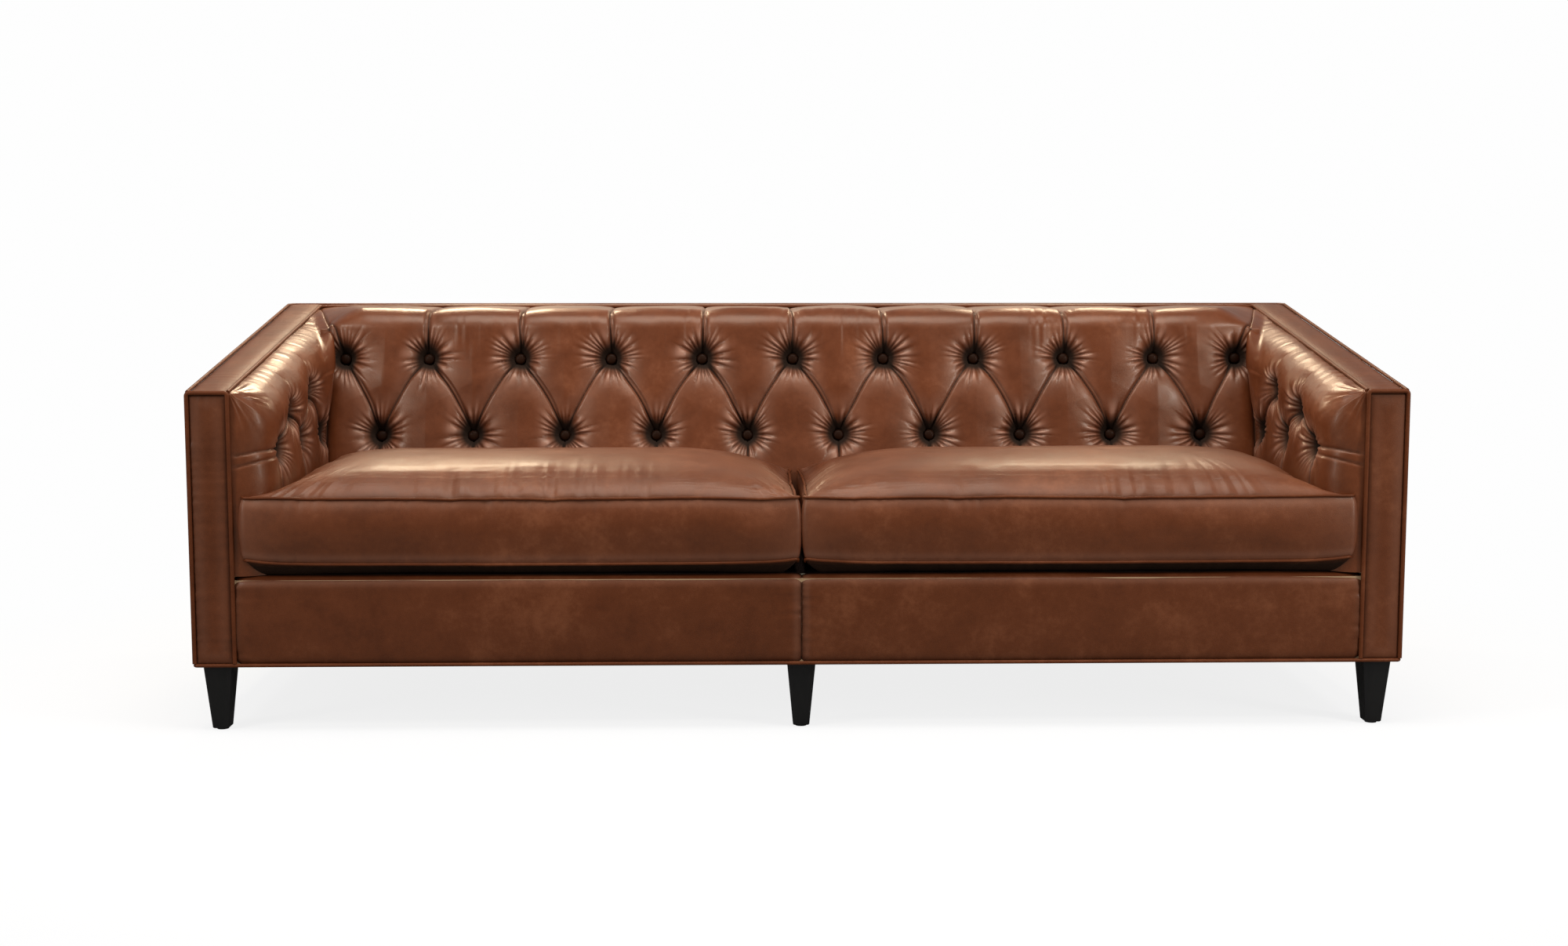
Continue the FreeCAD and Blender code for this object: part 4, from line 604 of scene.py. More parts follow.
def makeArm(side, word):
    roll, nose = armPad["rollRadius"], armPad["noseRadius"]
    noseY = armPad["frontY"] + nose
    psi = np.linspace(0.02, math.pi / 2, int(nose * math.pi / 2 / armPad["step"]))
    noseCols = noseY - nose * np.cos(psi)
    noseA = noseY - nose * (math.pi / 2 - psi)
    noseT = np.sin(psi)
    sideY = np.arange(noseY + armPad["step"], armPad["joinY"], armPad["step"])
    more = np.linspace(0, 1, armPad["joinColumns"])[1:]
    lowRows = int(armPad["lowSpan"] / armPad["step"])
    phi = np.linspace(0, math.pi / 2 - 0.02, int(roll * math.pi / 2 / armPad["step"]))
    rows = lowRows + len(phi)
    yCol = np.concatenate([noseCols, sideY, np.full(len(more), sideY[-1])])
    aCol = np.concatenate([noseA, sideY, np.full(len(more), sideY[-1])])
    tCol = np.concatenate([noseT, np.ones(len(sideY) + len(more))])
    stretchCol = np.concatenate([np.zeros(len(noseCols) + len(sideY)), more])
    restY = np.repeat(yCol[:, None], rows, 1)
    along = np.repeat(aCol[:, None], rows, 1)
    rollShare = np.concatenate([np.zeros(lowRows), np.sin(phi)])
    rollPart = np.concatenate([np.ones(lowRows), np.cos(phi)])
    heightShare = np.concatenate([np.linspace(0, 1, lowRows, endpoint=False), np.ones(len(phi))])
    # the rear columns run on to the corner seam, or a little past the raked back below it
    xRow = sofa["padBack"] - armPad["thickness"] * rollPart
    guessZ = armPad["baseZ"] + heightShare * 0.38
    endY = np.where(rollShare > 0.02, np.maximum(mitreY(xRow), 0.125), crestY(guessZ))
    endY = endY + 0.034 * (1 - rollShare) + 0.006
    restY = restY + stretchCol[:, None] * (endY[None, :] - sideY[-1])
    along = along + stretchCol[:, None] * (endY[None, :] - sideY[-1])
    top = armTop(restY) - 0.0030
    rollZ = top - roll
    restZ = armPad["baseZ"] + heightShare[None, :] * (rollZ - armPad["baseZ"]) + roll * rollShare[None, :]
    upward = armPad["baseZ"] + heightShare[None, :] * (rollZ - armPad["baseZ"]) \
        + roll * np.concatenate([np.zeros(lowRows), phi])[None, :]
    thick = armPad["thickness"] * tCol[:, None] * rollPart[None, :]
    base = np.stack([sofa["padBack"] - thick, restY, restZ], axis=2)
    normal = surfaceNormals(base)
    normal *= np.where(normal[:, :, :1] > 0, -1, 1)  # out of the pad, towards the seat
    upperZ = {share: float(armTop(armAt(share))) - armPad["drop"] for share in armPad["upperShares"]}
    lows = [(armAt(share), armPad["lowerZ"]) for share in armPad["lowerShares"]]
    highs = [(armAt(share), upperZ[share]) for share in armPad["upperShares"]]
    pits = [(p, 0.95) for p in [*lows, *highs]]
    pleats = []
    for low in lows:
        for high in highs:
            if abs(high[0] - low[0]) < armPad["pleatSpan"]:
                pleats.append((high, low, 1.0, 1.0, 0))
        pleats.append((low, (low[0], armPad["baseZ"]), 0.9, 0.6, 0))
    pleats.append((lows[2], (0.100, 0.640), 0.9, 0.7, 0))
    for high in highs:
        pleats.append((high, (high[0] - 0.010, high[1] + 0.100), 0.8, 0.05, 0))
    (frontY, frontZ), startA = lows[0], noseY - nose * math.pi / 2
    pleats.append((lows[0], (startA, frontZ - 0.004), 1.0, 0.35, 0))
    pleats.append(((frontY - 0.01, frontZ - 0.012), (startA, frontZ - 0.026), 0.6, 0.3, 0))
    depth, paintedShade, stretchSheen = tuftDepth(along, upward, pits, pleats, 71 if side > 0 else 171)
    # puckers along the top welt and round the front corner
    toTop = np.clip((rollZ + roll * math.pi / 2) - upward, 0, 1)
    toFront = np.clip(along - startA, 0, 1)
    depth += armPad["wrinkles"] * np.exp(-toTop / 0.045) * noise(35, along, upward, 0.011, 0.08)
    corner = np.exp(-(((toTop - 0.05) / 0.06) ** 2) - (((toFront - 0.06) / 0.07) ** 2))
    around = np.arctan2(toTop, toFront) * 7
    depth += armPad["cornerWrinkles"] * corner * noise(36, around, toTop + toFront, 0.55, 0.12)
    depth += armPad["uneven"] * noise(37, along, upward, 0.09)
    depth += armPad["fine"] * noise(38, along, upward, 0.03)
    toSeam = np.where(rollShare[None, :] > 0, mitreY(base[:, :, 0]), crestY(restZ)) - restY
    swell = np.exp(-(((toSeam - 0.028) / 0.034) ** 2)) * (1 - ramp(0.35, 0.9, rollShare))[None, :]
    depth -= armPad["swell"] * swell
    depth += armPad["seamDepth"] * np.exp(-np.clip(toSeam + backPad["crossing"], 0, 1) / 0.012)
    # painted shade along the corner seam
    paintedShade = np.maximum(paintedShade, 0.9 * np.exp(-np.abs(toSeam + backPad["crossing"]) / 0.003))
    inward = 1 - np.clip(mitreShare(base[:, :, 0], 0), 0, 1)
    lift = ramp(0, 1, 1 - toSeam / 0.11) * inward * armPad["lift"] * ramp(0.0, 0.6, rollShare)[None, :]
    depth *= ramp(0, 0.016, toFront + 0.004)
    points = base - normal * depth[:, :, None]
    points[:, :, 2] += lift
    # strips under the welts
    front = points[:1].copy()
    front[:, :, :2] = armPad["edge"]
    points = np.concatenate([front, points])
    top = points[:, -1:].copy()
    top[:, :, 0] = armPad["edge"][0]
    points = np.concatenate([points, top], axis=1)
    # painted shade on the strips under the welts
    paintedShade = np.pad(paintedShade, ((1, 0), (0, 1)), constant_values=0.95)
    stretchSheen = np.pad(stretchSheen, ((1, 0), (0, 1)))
    if side < 0:
        points = mirrorX(points)
    faces = gridFaces(*points.shape[:2], flip=side < 0)
    piece = addMesh(f"insideArm{word}", points, faces, leather["tufted"], "sofa_body",
                    (f"inside_arm_leather_{word.lower()}",), {"paintedShade": paintedShade, "stretchSheen": stretchSheen})
    return piece, [*lows, *highs]


def domePoints(centre, into, seed, rings=9, spokes=40):
    into = np.array(into)
    side = np.cross(into, (0.0, 0.0, 1.0))
    side /= np.linalg.norm(side)
    up = np.cross(side, into)
    share = np.linspace(0, 1, rings)
    turn = np.linspace(0, 2 * math.pi, spokes, endpoint=False)
    r = button["radius"] * np.sin(share * math.pi / 2)
    out = button["height"] * np.cos(share * math.pi / 2) ** 0.8
    gather = 1 + 0.02 * np.cos(turn * 11 + seed)
    ring = r[:, None] * np.where(share[:, None] > 0.8, gather[None, :], 1)
    points = np.array(centre) - into * out[:, None, None] + side * (ring * np.cos(turn))[:, :, None] \
        + up * (ring * np.sin(turn))[:, :, None]
    under = points[-1:] + into * 0.003
    return np.concatenate([points, under])


button = dict(radius=0.0118, height=0.0065, proud=0.002)


def makeButtons(armButtons):
    lean = rake["angle"]
    into = np.array([0, math.cos(lean), -math.sin(lean)])
    rows = [(tuft["spacing"] * i, tuft["upperZ"]) for i in range(-4, 5)]
    rows += [(side * tuft["corner"], tuft["upperZ"]) for side in (-1, 1)]
    rows += [(tuft["spacing"] * (i + 0.5), tuft["lowerZ"]) for i in range(-5, 5)]
    seat = tuft["pitDepth"] - button["proud"]
    grids = []
    for k, (x, z) in enumerate(rows):
        centre = np.array([x, crestY(z), z]) + into * seat
        grids.append((domePoints(centre, into, seed=k), dict(wrapColumns=True, flip=True)))
    points, faces = joinGrids(grids)
    addMesh("backButtons", points, faces, leather["button"], "sofa_body",
            ("back_buttons",))
    grids = []
    for side in (-1, 1):
        for k, (y, z) in enumerate(armButtons):
            centre = np.array([side * (sofa["armCrest"] + seat), y, z])
            grids.append((domePoints(centre, (side, 0, 0), seed=k), dict(wrapColumns=True, flip=True)))
    points, faces = joinGrids(grids)
    addMesh("armButtons", points, faces, leather["button"], "sofa_body",
            ("arm_buttons",))


makeBack()
for side, word in ((-1, "Left"), (1, "Right")):
    armPiece, armButtonPlaces = makeArm(side, word)
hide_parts("inside_arm_foams")
makeButtons(armButtonPlaces)
print("buttoned pads made")

# flat leather panels

panelLook = dict(step=0.004, tuck=0.0030, tuckDepth=0.0044, edgeDrop=0.0022, edgeReach=0.009, pucker=0.0008,
                 puckerPitch=0.0078, puckerReach=0.030)


def addPanel(name, node, place, outward, sizeU, sizeV, seed, puff, pucker):
    countU = max(int(sizeU / panelLook["step"]), 24)
    countV = max(int(sizeV / panelLook["step"]), 24)
    ease = lambda count: 0.5 - 0.5 * np.cos(np.linspace(0, math.pi, count))
    blendU = 0.25 * ease(countU) + 0.75 * np.linspace(0, 1, countU)
    blendV = 0.25 * ease(countV) + 0.75 * np.linspace(0, 1, countV)
    u, v = np.meshgrid(blendU, blendV, indexing="ij")
    a, b = u * sizeU, v * sizeV
    edges = [(a, b), (sizeU - a, b), (b, a), (sizeV - b, a)]  # distance to an edge, place along it
    nearest = np.minimum.reduce([away for away, along in edges])
    height = puff * (1 - (2 * u - 1) ** 4) * (1 - (2 * v - 1) ** 4)
    height -= panelLook["edgeDrop"] * np.exp(-nearest / panelLook["edgeReach"])
    for away, along in edges:
        near = np.exp(-away / panelLook["puckerReach"])
        wave = noise(seed, along, away, panelLook["puckerPitch"], 0.09)
        patchy = ramp(-0.35, 0.5, noise(seed + 1, along, away, 0.12))
        height += panelLook["pucker"] * pucker * near * wave * patchy
    height += 0.0007 * noise(seed + 2, a, b, 0.16) + 0.0003 * noise(seed + 3, a, b, 0.05)
    outward = np.array(outward, dtype=float)
    tuck = panelLook["tuck"]
    wideU = np.concatenate([[-tuck / sizeU], blendU, [1 + tuck / sizeU]])
    wideV = np.concatenate([[-tuck / sizeV], blendV, [1 + tuck / sizeV]])
    wide = np.full((len(wideU), len(wideV)), -panelLook["tuckDepth"])
    wide[1:-1, 1:-1] = height
    grid = place(*np.meshgrid(wideU, wideV, indexing="ij")) + outward * wide[:, :, None]
    # painted shade on the tucked rim and near the edges, and a paler band with painted highlight just
    # inside them
    paintedShade = np.full(grid.shape[:2], 0.9)
    paintedShade[1:-1, 1:-1] = 0.55 * np.exp(-nearest / 0.0030)
    stretchSheen = np.zeros(grid.shape[:2])
    stretchSheen[1:-1, 1:-1] = 0.05 * np.exp(-(((nearest - 0.014) / 0.010) ** 2))
    normal = np.cross(grid[2, 1] - grid[1, 1], grid[1, 2] - grid[1, 1])
    faces = gridFaces(*grid.shape[:2], flip=float(normal @ outward) < 0)
    return addMesh(name, grid, faces, leather["panel"], "sofa_body", (node,),
                   {"paintedShade": paintedShade, "stretchSheen": stretchSheen})


def lay(*corners):  # a flat place function from arrays for x, y and z
    def place(u, v):
        return np.stack([part(u, v) + 0 * u for part in corners], axis=2)
    return place


shell = dict(
    inner=1.0748, outer=1.1427, low=0.1333, frontHigh=0.6397, topStart=-0.4477, topLength=0.9004,
    sideStart=-0.446, sideLength=0.897, sideDrop=0.0063, backHigh=0.7847, backTopStart=0.3918,
    backTopDepth=0.0609, backTopReach=1.0745,
)


def makePanels():
    p = shell
    low, outer, width = p["low"], p["outer"], p["outer"] - p["inner"]
    depth, reach = p["backTopDepth"], p["backTopReach"]

    def across(u, v):  # over the width of an arm
        return side * (p["inner"] + u * width)

    def topY(u, v):
        return p["topStart"] + v * p["topLength"]

    def sideY(u, v):
        return p["sideStart"] + u * p["sideLength"]

    for side, word in ((-1, "Left"), (1, "Right")):
        tag = word.lower()
        addPanel(
            f"armFront{word}", f"arm_front_panel_{tag}",
            lay(across, lambda u, v: sofa["faceFront"], lambda u, v: low + v * (p["frontHigh"] - low)),
            (0, -1, 0), width, 0.506, 200 + side, puff=0.0022, pucker=0.8,
        )
        addPanel(
            f"armTopPanel{word}", f"arm_top_panel_{tag}",
            lay(across, topY, lambda u, v: armTop(topY(u, v))),
            (0, 0, 1), width, 0.90, 210 + side, puff=0.0022, pucker=0.9,
        )
        addPanel(
            f"outsideArm{word}", f"outside_arm_panel_{tag}",
            lay(lambda u, v: side * sofa["faceSide"], sideY,
                lambda u, v: low + v * (armTop(sideY(u, v)) - p["sideDrop"] - low)),
            (side, 0, 0), p["sideLength"], 0.60, 220 + side, puff=0.0015, pucker=0.7,
        )
    addPanel(
        "backTopPanel", "back_top_panel",
        lay(lambda u, v: (2 * u - 1) * reach, lambda u, v: p["backTopStart"] + v * depth,
            lambda u, v: sofa["faceTop"]),
        (0, 0, 1), 2 * reach, depth, 230, puff=0.0018, pucker=0.8,
    )
    addPanel(
        "outsideBack", "outside_back_panel",
        lay(lambda u, v: (2 * u - 1) * outer, lambda u, v: sofa["faceRear"],
            lambda u, v: low + v * (p["backHigh"] - low)),
        (0, 1, 0), 2 * outer, 0.651, 240, puff=0.0015, pucker=0.7,
    )


basePanel = dict(
    low=0.1333, top=0.297, front=-0.452, back=-0.4165, width=1.067, round=0.022, step=0.004, row=0.003,
    puff=0.0026, seamDrop=0.0040, endDrop=0.0032, lowDrop=0.0035, lowPucker=0.0010, topPucker=0.0013,
    endPucker=0.0011, uneven=0.0012, fine=0.0004, turnedIn=0.006,
)


def makeBasePanel(side, word):
    p = basePanel
    low, bend, width = p["low"], p["round"], p["width"]
    straight = p["top"] - bend - low
    arc = bend * math.pi / 2
    total = straight + arc + p["back"] - p["front"] - bend
    s = np.linspace(0, total, int(total / p["row"]))
    turn = np.clip((s - straight) / bend, 0, math.pi / 2)
    y = p["front"] + bend * (1 - np.cos(turn)) + np.clip(s - straight - arc, 0, 1)
    z = low + np.minimum(s, straight) + bend * np.sin(turn)
    ny, nz = -np.cos(turn), np.sin(turn)
    x = np.linspace(0, width, int(width / p["step"]))
    across, run = np.meshgrid(x, s, indexing="ij")
    fromEnd = width - across
    height = p["puff"] * (1 - (2 * np.clip(run / straight, 0, 1) - 1) ** 2)
    height -= p["seamDrop"] * np.exp(-across / 0.006) + p["endDrop"] * np.exp(-fromEnd / 0.007)
    height -= p["lowDrop"] * np.exp(-run / 0.007)
    # puckers along the lower welt, at the middle seam's top and down both ends
    seed = 300 + side
    patchy = ramp(-0.2, 0.5, noise(seed + 1, across, run, 0.13))
    height += p["lowPucker"] * np.exp(-run / 0.03) * noise(seed, across, run, 0.009, 0.08) * patchy
    gather = np.exp(-across / 0.035) * ramp(straight - 0.06, straight, run)
    height += p["topPucker"] * gather * noise(seed + 2, across, run, 0.09, 0.006)
    ends = np.exp(-np.minimum(across, fromEnd) / 0.03)
    height += p["endPucker"] * ends * noise(seed + 3, across, run, 0.09, 0.009)
    height += p["uneven"] * noise(seed + 4, across, run, 0.22, 0.09)
    height += p["fine"] * noise(seed + 5, across, run, 0.05)
    points = np.stack([side * across, y + ny * height, z + nz * height], axis=2)
    back = points[:, :1] + np.array([0, 0.0012, -0.003])
    grid = np.concatenate([back, points], axis=1)
    into = np.stack([0 * s, -ny, -nz], axis=1)
    first = grid[:1] + p["turnedIn"] * np.concatenate([into[:1], into])[None]  # at the middle seam
    last = grid[-1:] + np.array([side * 0.003, 0.0012, 0])
    grid = np.concatenate([first, grid, last])
    # painted shade at the middle seam, the low welt, both ends and on the top's deep part in the gap under
    # the cushion
    dark = 0.7 * np.exp(-across / 0.0025) + 0.5 * np.exp(-run / 0.004) + 0.5 * np.exp(-fromEnd / 0.004)
    dark += 0.8 * ramp(straight + arc * 0.9, straight + arc + 0.012, run)
    # painted highlight on the rounded top edge and beside the middle seam
    tautsheen = 0.05 * np.exp(-(((run - straight - arc * 0.3) / 0.008) ** 2))
    tautsheen += 0.08 * np.exp(-(((across - 0.010) / 0.006) ** 2))
    paintedShade, stretchSheen = np.zeros(grid.shape[:2]), np.zeros(grid.shape[:2])
    paintedShade[1:-1, 1:], stretchSheen[1:-1, 1:] = np.clip(dark, 0, 0.9), tautsheen
    addMesh(f"basePanel{word}", grid, gridFaces(*grid.shape[:2], flip=side < 0), leather["panel"],
            "sofa_body", (f"front_panel_{word.lower()}",),
            {"paintedShade": paintedShade, "stretchSheen": stretchSheen})


makePanels()
makeBasePanel(-1, "Left")
makeBasePanel(1, "Right")
print("panels made")

# piping


def roundPath(corners, radius, closed=False):  # straight runs joined by short arcs
    corners = [Vector(c) for c in corners]
    count = len(corners)
    path = [] if closed else [corners[0]]
    for i in range(0 if closed else 1, count if closed else count - 1):
        before, corner, after = corners[i - 1], corners[i], corners[(i + 1) % count]
        a, b = (before - corner).normalized(), (after - corner).normalized()
        half = a.angle(b) / 2
        if half > math.radians(89):
            path.append(corner)
            continue
        room = min((before - corner).length, (after - corner).length) * 0.45
        reach = min(radius / math.tan(half), room)
        r = reach * math.tan(half)
        centre = corner + (a + b).normalized() * (r / math.sin(half))
        start = (corner + a * reach - centre).normalized()
        end = (corner + b * reach - centre).normalized()
        for k in range(9):
            path.append(centre + start.slerp(end, k / 8) * r)
    if not closed:
        path.append(corners[-1])
    return path


def addTube(name, paths, radius, material, body, replaced=(), closed=False):
    curve = bpy.data.curves.new(name, "CURVE")
    curve.dimensions = "3D"
    curve.bevel_depth = radius
    curve.bevel_resolution = 3
    curve.use_fill_caps = True
    for path in paths:
        spline = curve.splines.new("POLY")
        spline.points.add(len(path) - 1)
        for point, place in zip(spline.points, path):
            point.co = (*place, 1)
        spline.use_cyclic_u = closed
        spline.use_smooth = True
    piece = bpy.data.objects.new(name, curve)
    bpy.context.scene.collection.objects.link(piece)
    finishPiece(piece, material, body, replaced)
    return piece


def resample(path, step):  # even points along a path of vectors
    points = [path[0]]
    for a, b in zip(path, path[1:]):
        pieces = max(1, round((b - a).length / step))
        points += [a.lerp(b, (k + 1) / pieces) for k in range(pieces)]
    return points


welt = dict(
    side=1.1465, front=-0.4515, rear=0.4565, low=0.1295, radius=0.0035, frontRadius=0.0041, corner=0.006,
    topStart=-0.4445, sunk=0.0005, archInner=1.071, archLow=0.1333, archHigh=0.6455, cornerHigh=0.7867,
)


def makeWelts():
    w, f, r, low = (welt[key] for key in ("side", "front", "rear", "low"))
    radius, corner, start, sunk = (welt[key] for key in ("radius", "corner", "topStart", "sunk"))
    bend = sofa["bendY"]
    ring = [(-w, f, low), (w, f, low), (w, r, low), (-w, r, low)]
    addTube("bottomWelt", [roundPath(ring, corner, True)], radius, leather["piping"],
            "sofa_body", ("bottom_welt",), closed=True)
    z0, zTop = float(armTop(start)) - sunk, sofa["faceTop"] - sunk
    right = [(w, r, zTop), (w, bend, zTop), (w, start, z0)]
    outer = [(-x, y, z) for x, y, z in reversed(right)] + right
    x, y = backPad["mitreEnd"]
    z = float(armTop(y)) - sunk
    inner = [(-x, start, z0), (-x, y, z), (x, y, z), (x, start, z0)]
    addTube("topWelts", [roundPath(outer, corner), roundPath(inner, corner)], radius, leather["piping"],
            "sofa_body", ("top_welts",))
    near, foot, high = welt["archInner"], welt["archLow"], welt["archHigh"]
    arch = [(near, foot), (near, high), (w, high), (w, foot)]
    arches = [roundPath([(side * x, f, z) for x, z in arch], corner) for side in (-1, 1)]
    addTube("armFrontWelts", arches, welt["frontRadius"], leather["piping"], "sofa_body",
            ("arm_front_welts",))
    corners = [[(side * w, r, foot), (side * w, r, welt["cornerHigh"])] for side in (-1, 1)]
    addTube("backCornerWelts", corners, radius, leather["piping"], "sofa_body",
            ("back_corner_welts",))


makeWelts()
print("piping made")

# seat cushions

cushion = dict(
    inner=0.0088, outer=0.987, tip=1.0435, front=-0.454, seamTop=0.444, seamLow=0.320, rest=0.2978,
    crown=0.069, gap=0.009, noseCentre=(1.070, -0.366), noseRadius=0.083, round=0.007,
    bulge=0.006, cornerLift=0.010, belly=0.048, pipe=0.0027,
)


# the crease values paint shade along the seams; the taut values paint a paler stretched band with a painted
# highlight beside them
coverLook = dict(
    columns=760, pucker=0.0024, puckerReach=0.060, waves=0.0020, fine=0.0006, seamDrop=0.0022,
    seamReach=0.004, sides=0.0018, gather=0.0015, gatherReach=0.018, boxingWaves=0.0010, zipFlat=0.0014,
    zipDrop=0.0030, crease=0.55, creaseReach=0.0030, tautsheen=0.10, bellyWaves=0.0008, bellyPucker=0.0012,
)


def cushionRear():  # where the top seam runs behind
    return crestY(cushion["seamTop"]) - cushion["gap"]


def cushionOutline():
    c, rear = cushion, cushionRear()
    cx, cy = c["noseCentre"]
    arcStart = math.acos((cx - c["tip"]) / c["noseRadius"])
    nose = []
    for k in range(24):
        turn = arcStart * (1 - k / 23)
        nose.append((cx - c["noseRadius"] * math.cos(turn), cy - c["noseRadius"] * math.sin(turn), 0))
    corners = [
        (c["inner"], c["front"], 0), (c["tip"] + 0.004, c["front"], 0), *nose,
        (c["outer"], rear, 0), (c["inner"], rear, 0),
    ]
    path = roundPath(corners, c["round"], True)
    path.append(path[0])
    even = resample(path, 0.0009)
    lengths = np.concatenate([[0], np.cumsum([(b - a).length for a, b in zip(even, even[1:])])])
    want = np.linspace(0, lengths[-1], coverLook["columns"], endpoint=False)
    x = np.interp(want, lengths, [p.x for p in even])
    y = np.interp(want, lengths, [p.y for p in even])
    return x, y, want


def crownShare(px, py, share, atEnd):  # full in the middle, falling to the seam on all four sides
    c, rear = cushion, cushionRear()
    half = (rear - c["front"]) / 2
    acrossDepth = np.clip(np.abs(py - (c["front"] + rear) / 2) / half, 0, 1)
    fromMiddle = np.abs(px - (c["inner"] + c["tip"]) / 2)
    acrossWidth = np.clip(1 - ((c["tip"] - c["inner"]) / 2 - fromMiddle) / half, 0, 1)
    atSeam = 1 - atEnd * (1 - np.maximum(1 - share**14, 0) ** 0.5)
    return (1 - acrossDepth**2.5) ** 0.64 * (1 - acrossWidth**2) ** 0.80 * atSeam


coverCloth = dict(voxel=0.007, pressure=4.0, frames=20, slack=-0.02, most=0.012, front=0.006, beside=0.0015,
                  reach=0.010)


def coverShift(grid, word):  # how the cushion's cover moves when it fills out as cloth
    scene = bpy.context.scene
    mesh = bpy.data.meshes.new(f"looseCover{word}")
    small = grid[::2, ::4]
    mesh.from_pydata(small.reshape(-1, 3).tolist(), [],
                     gridFaces(*small.shape[:2], wrapColumns=True, flip=True).tolist())
    loose = bpy.data.objects.new(f"looseCover{word}", mesh)
    scene.collection.objects.link(loose)
    closeEnds(loose)
    even = loose.modifiers.new("even", "REMESH")
    even.mode = "VOXEL"
    even.voxel_size = coverCloth["voxel"]
    loose.data = bpy.data.meshes.new_from_object(loose.evaluated_get(bpy.context.evaluated_depsgraph_get()))
    loose.modifiers.clear()
    count = len(loose.data.vertices)
    before, after = np.empty(count * 3), np.empty(count * 3)
    loose.data.vertices.foreach_get("co", before)
    cover = loose.modifiers.new("cover", "CLOTH").settings
    cover.quality = 4
    cover.mass = 0.4
    cover.tension_stiffness = cover.compression_stiffness = 25
    cover.bending_stiffness = 0.4
    cover.use_pressure = True
    cover.uniform_pressure_force = coverCloth["pressure"]
    cover.effector_weights.gravity = 0
    cover.shrink_min = coverCloth["slack"]
    for step in range(1, coverCloth["frames"] + 1):
        scene.frame_set(step)
    filled = loose.evaluated_get(bpy.context.evaluated_depsgraph_get())
    filled.data.vertices.foreach_get("co", after)
    scene.frame_set(1)
    shift = (after - before).reshape(-1, 3)
    before = before.reshape(-1, 3)
    size = np.linalg.norm(shift, axis=1, keepdims=True)
    print(f"cover{word} filled out, {count} points")
    shift *= coverCloth["most"] / np.hypot(size, coverCloth["most"])  # never further than this
    tree = KDTree(count)
    for k, place in enumerate(before):
        tree.insert(place, k)
    tree.balance()
    moved = np.empty(small.shape)
    for place in np.ndindex(small.shape[:2]):
        near = tree.find_n(small[place], 14)
        weight = np.exp([-0.5 * (away / coverCloth["reach"]) ** 2 for _, _, away in near])
        moved[place] = weight @ shift[[index for _, index, _ in near]] / weight.sum()
    bpy.data.objects.remove(loose)
    # from the thinned grid back to the whole one
    moved = np.concatenate([moved, moved[:, :1]], axis=1)
    rows, columns = np.arange(grid.shape[0]) / 2, np.arange(grid.shape[1]) / 4
    low, share = np.floor(columns).astype(int), (columns % 1)[None, :, None]
    high = np.minimum(low + 1, moved.shape[1] - 1)
    across = moved[:, low] * (1 - share) + moved[:, high] * share
    low, share = np.floor(rows).astype(int), (rows % 1)[:, None, None]
    return across[low] * (1 - share) + across[np.minimum(low + 1, len(across) - 1)] * share


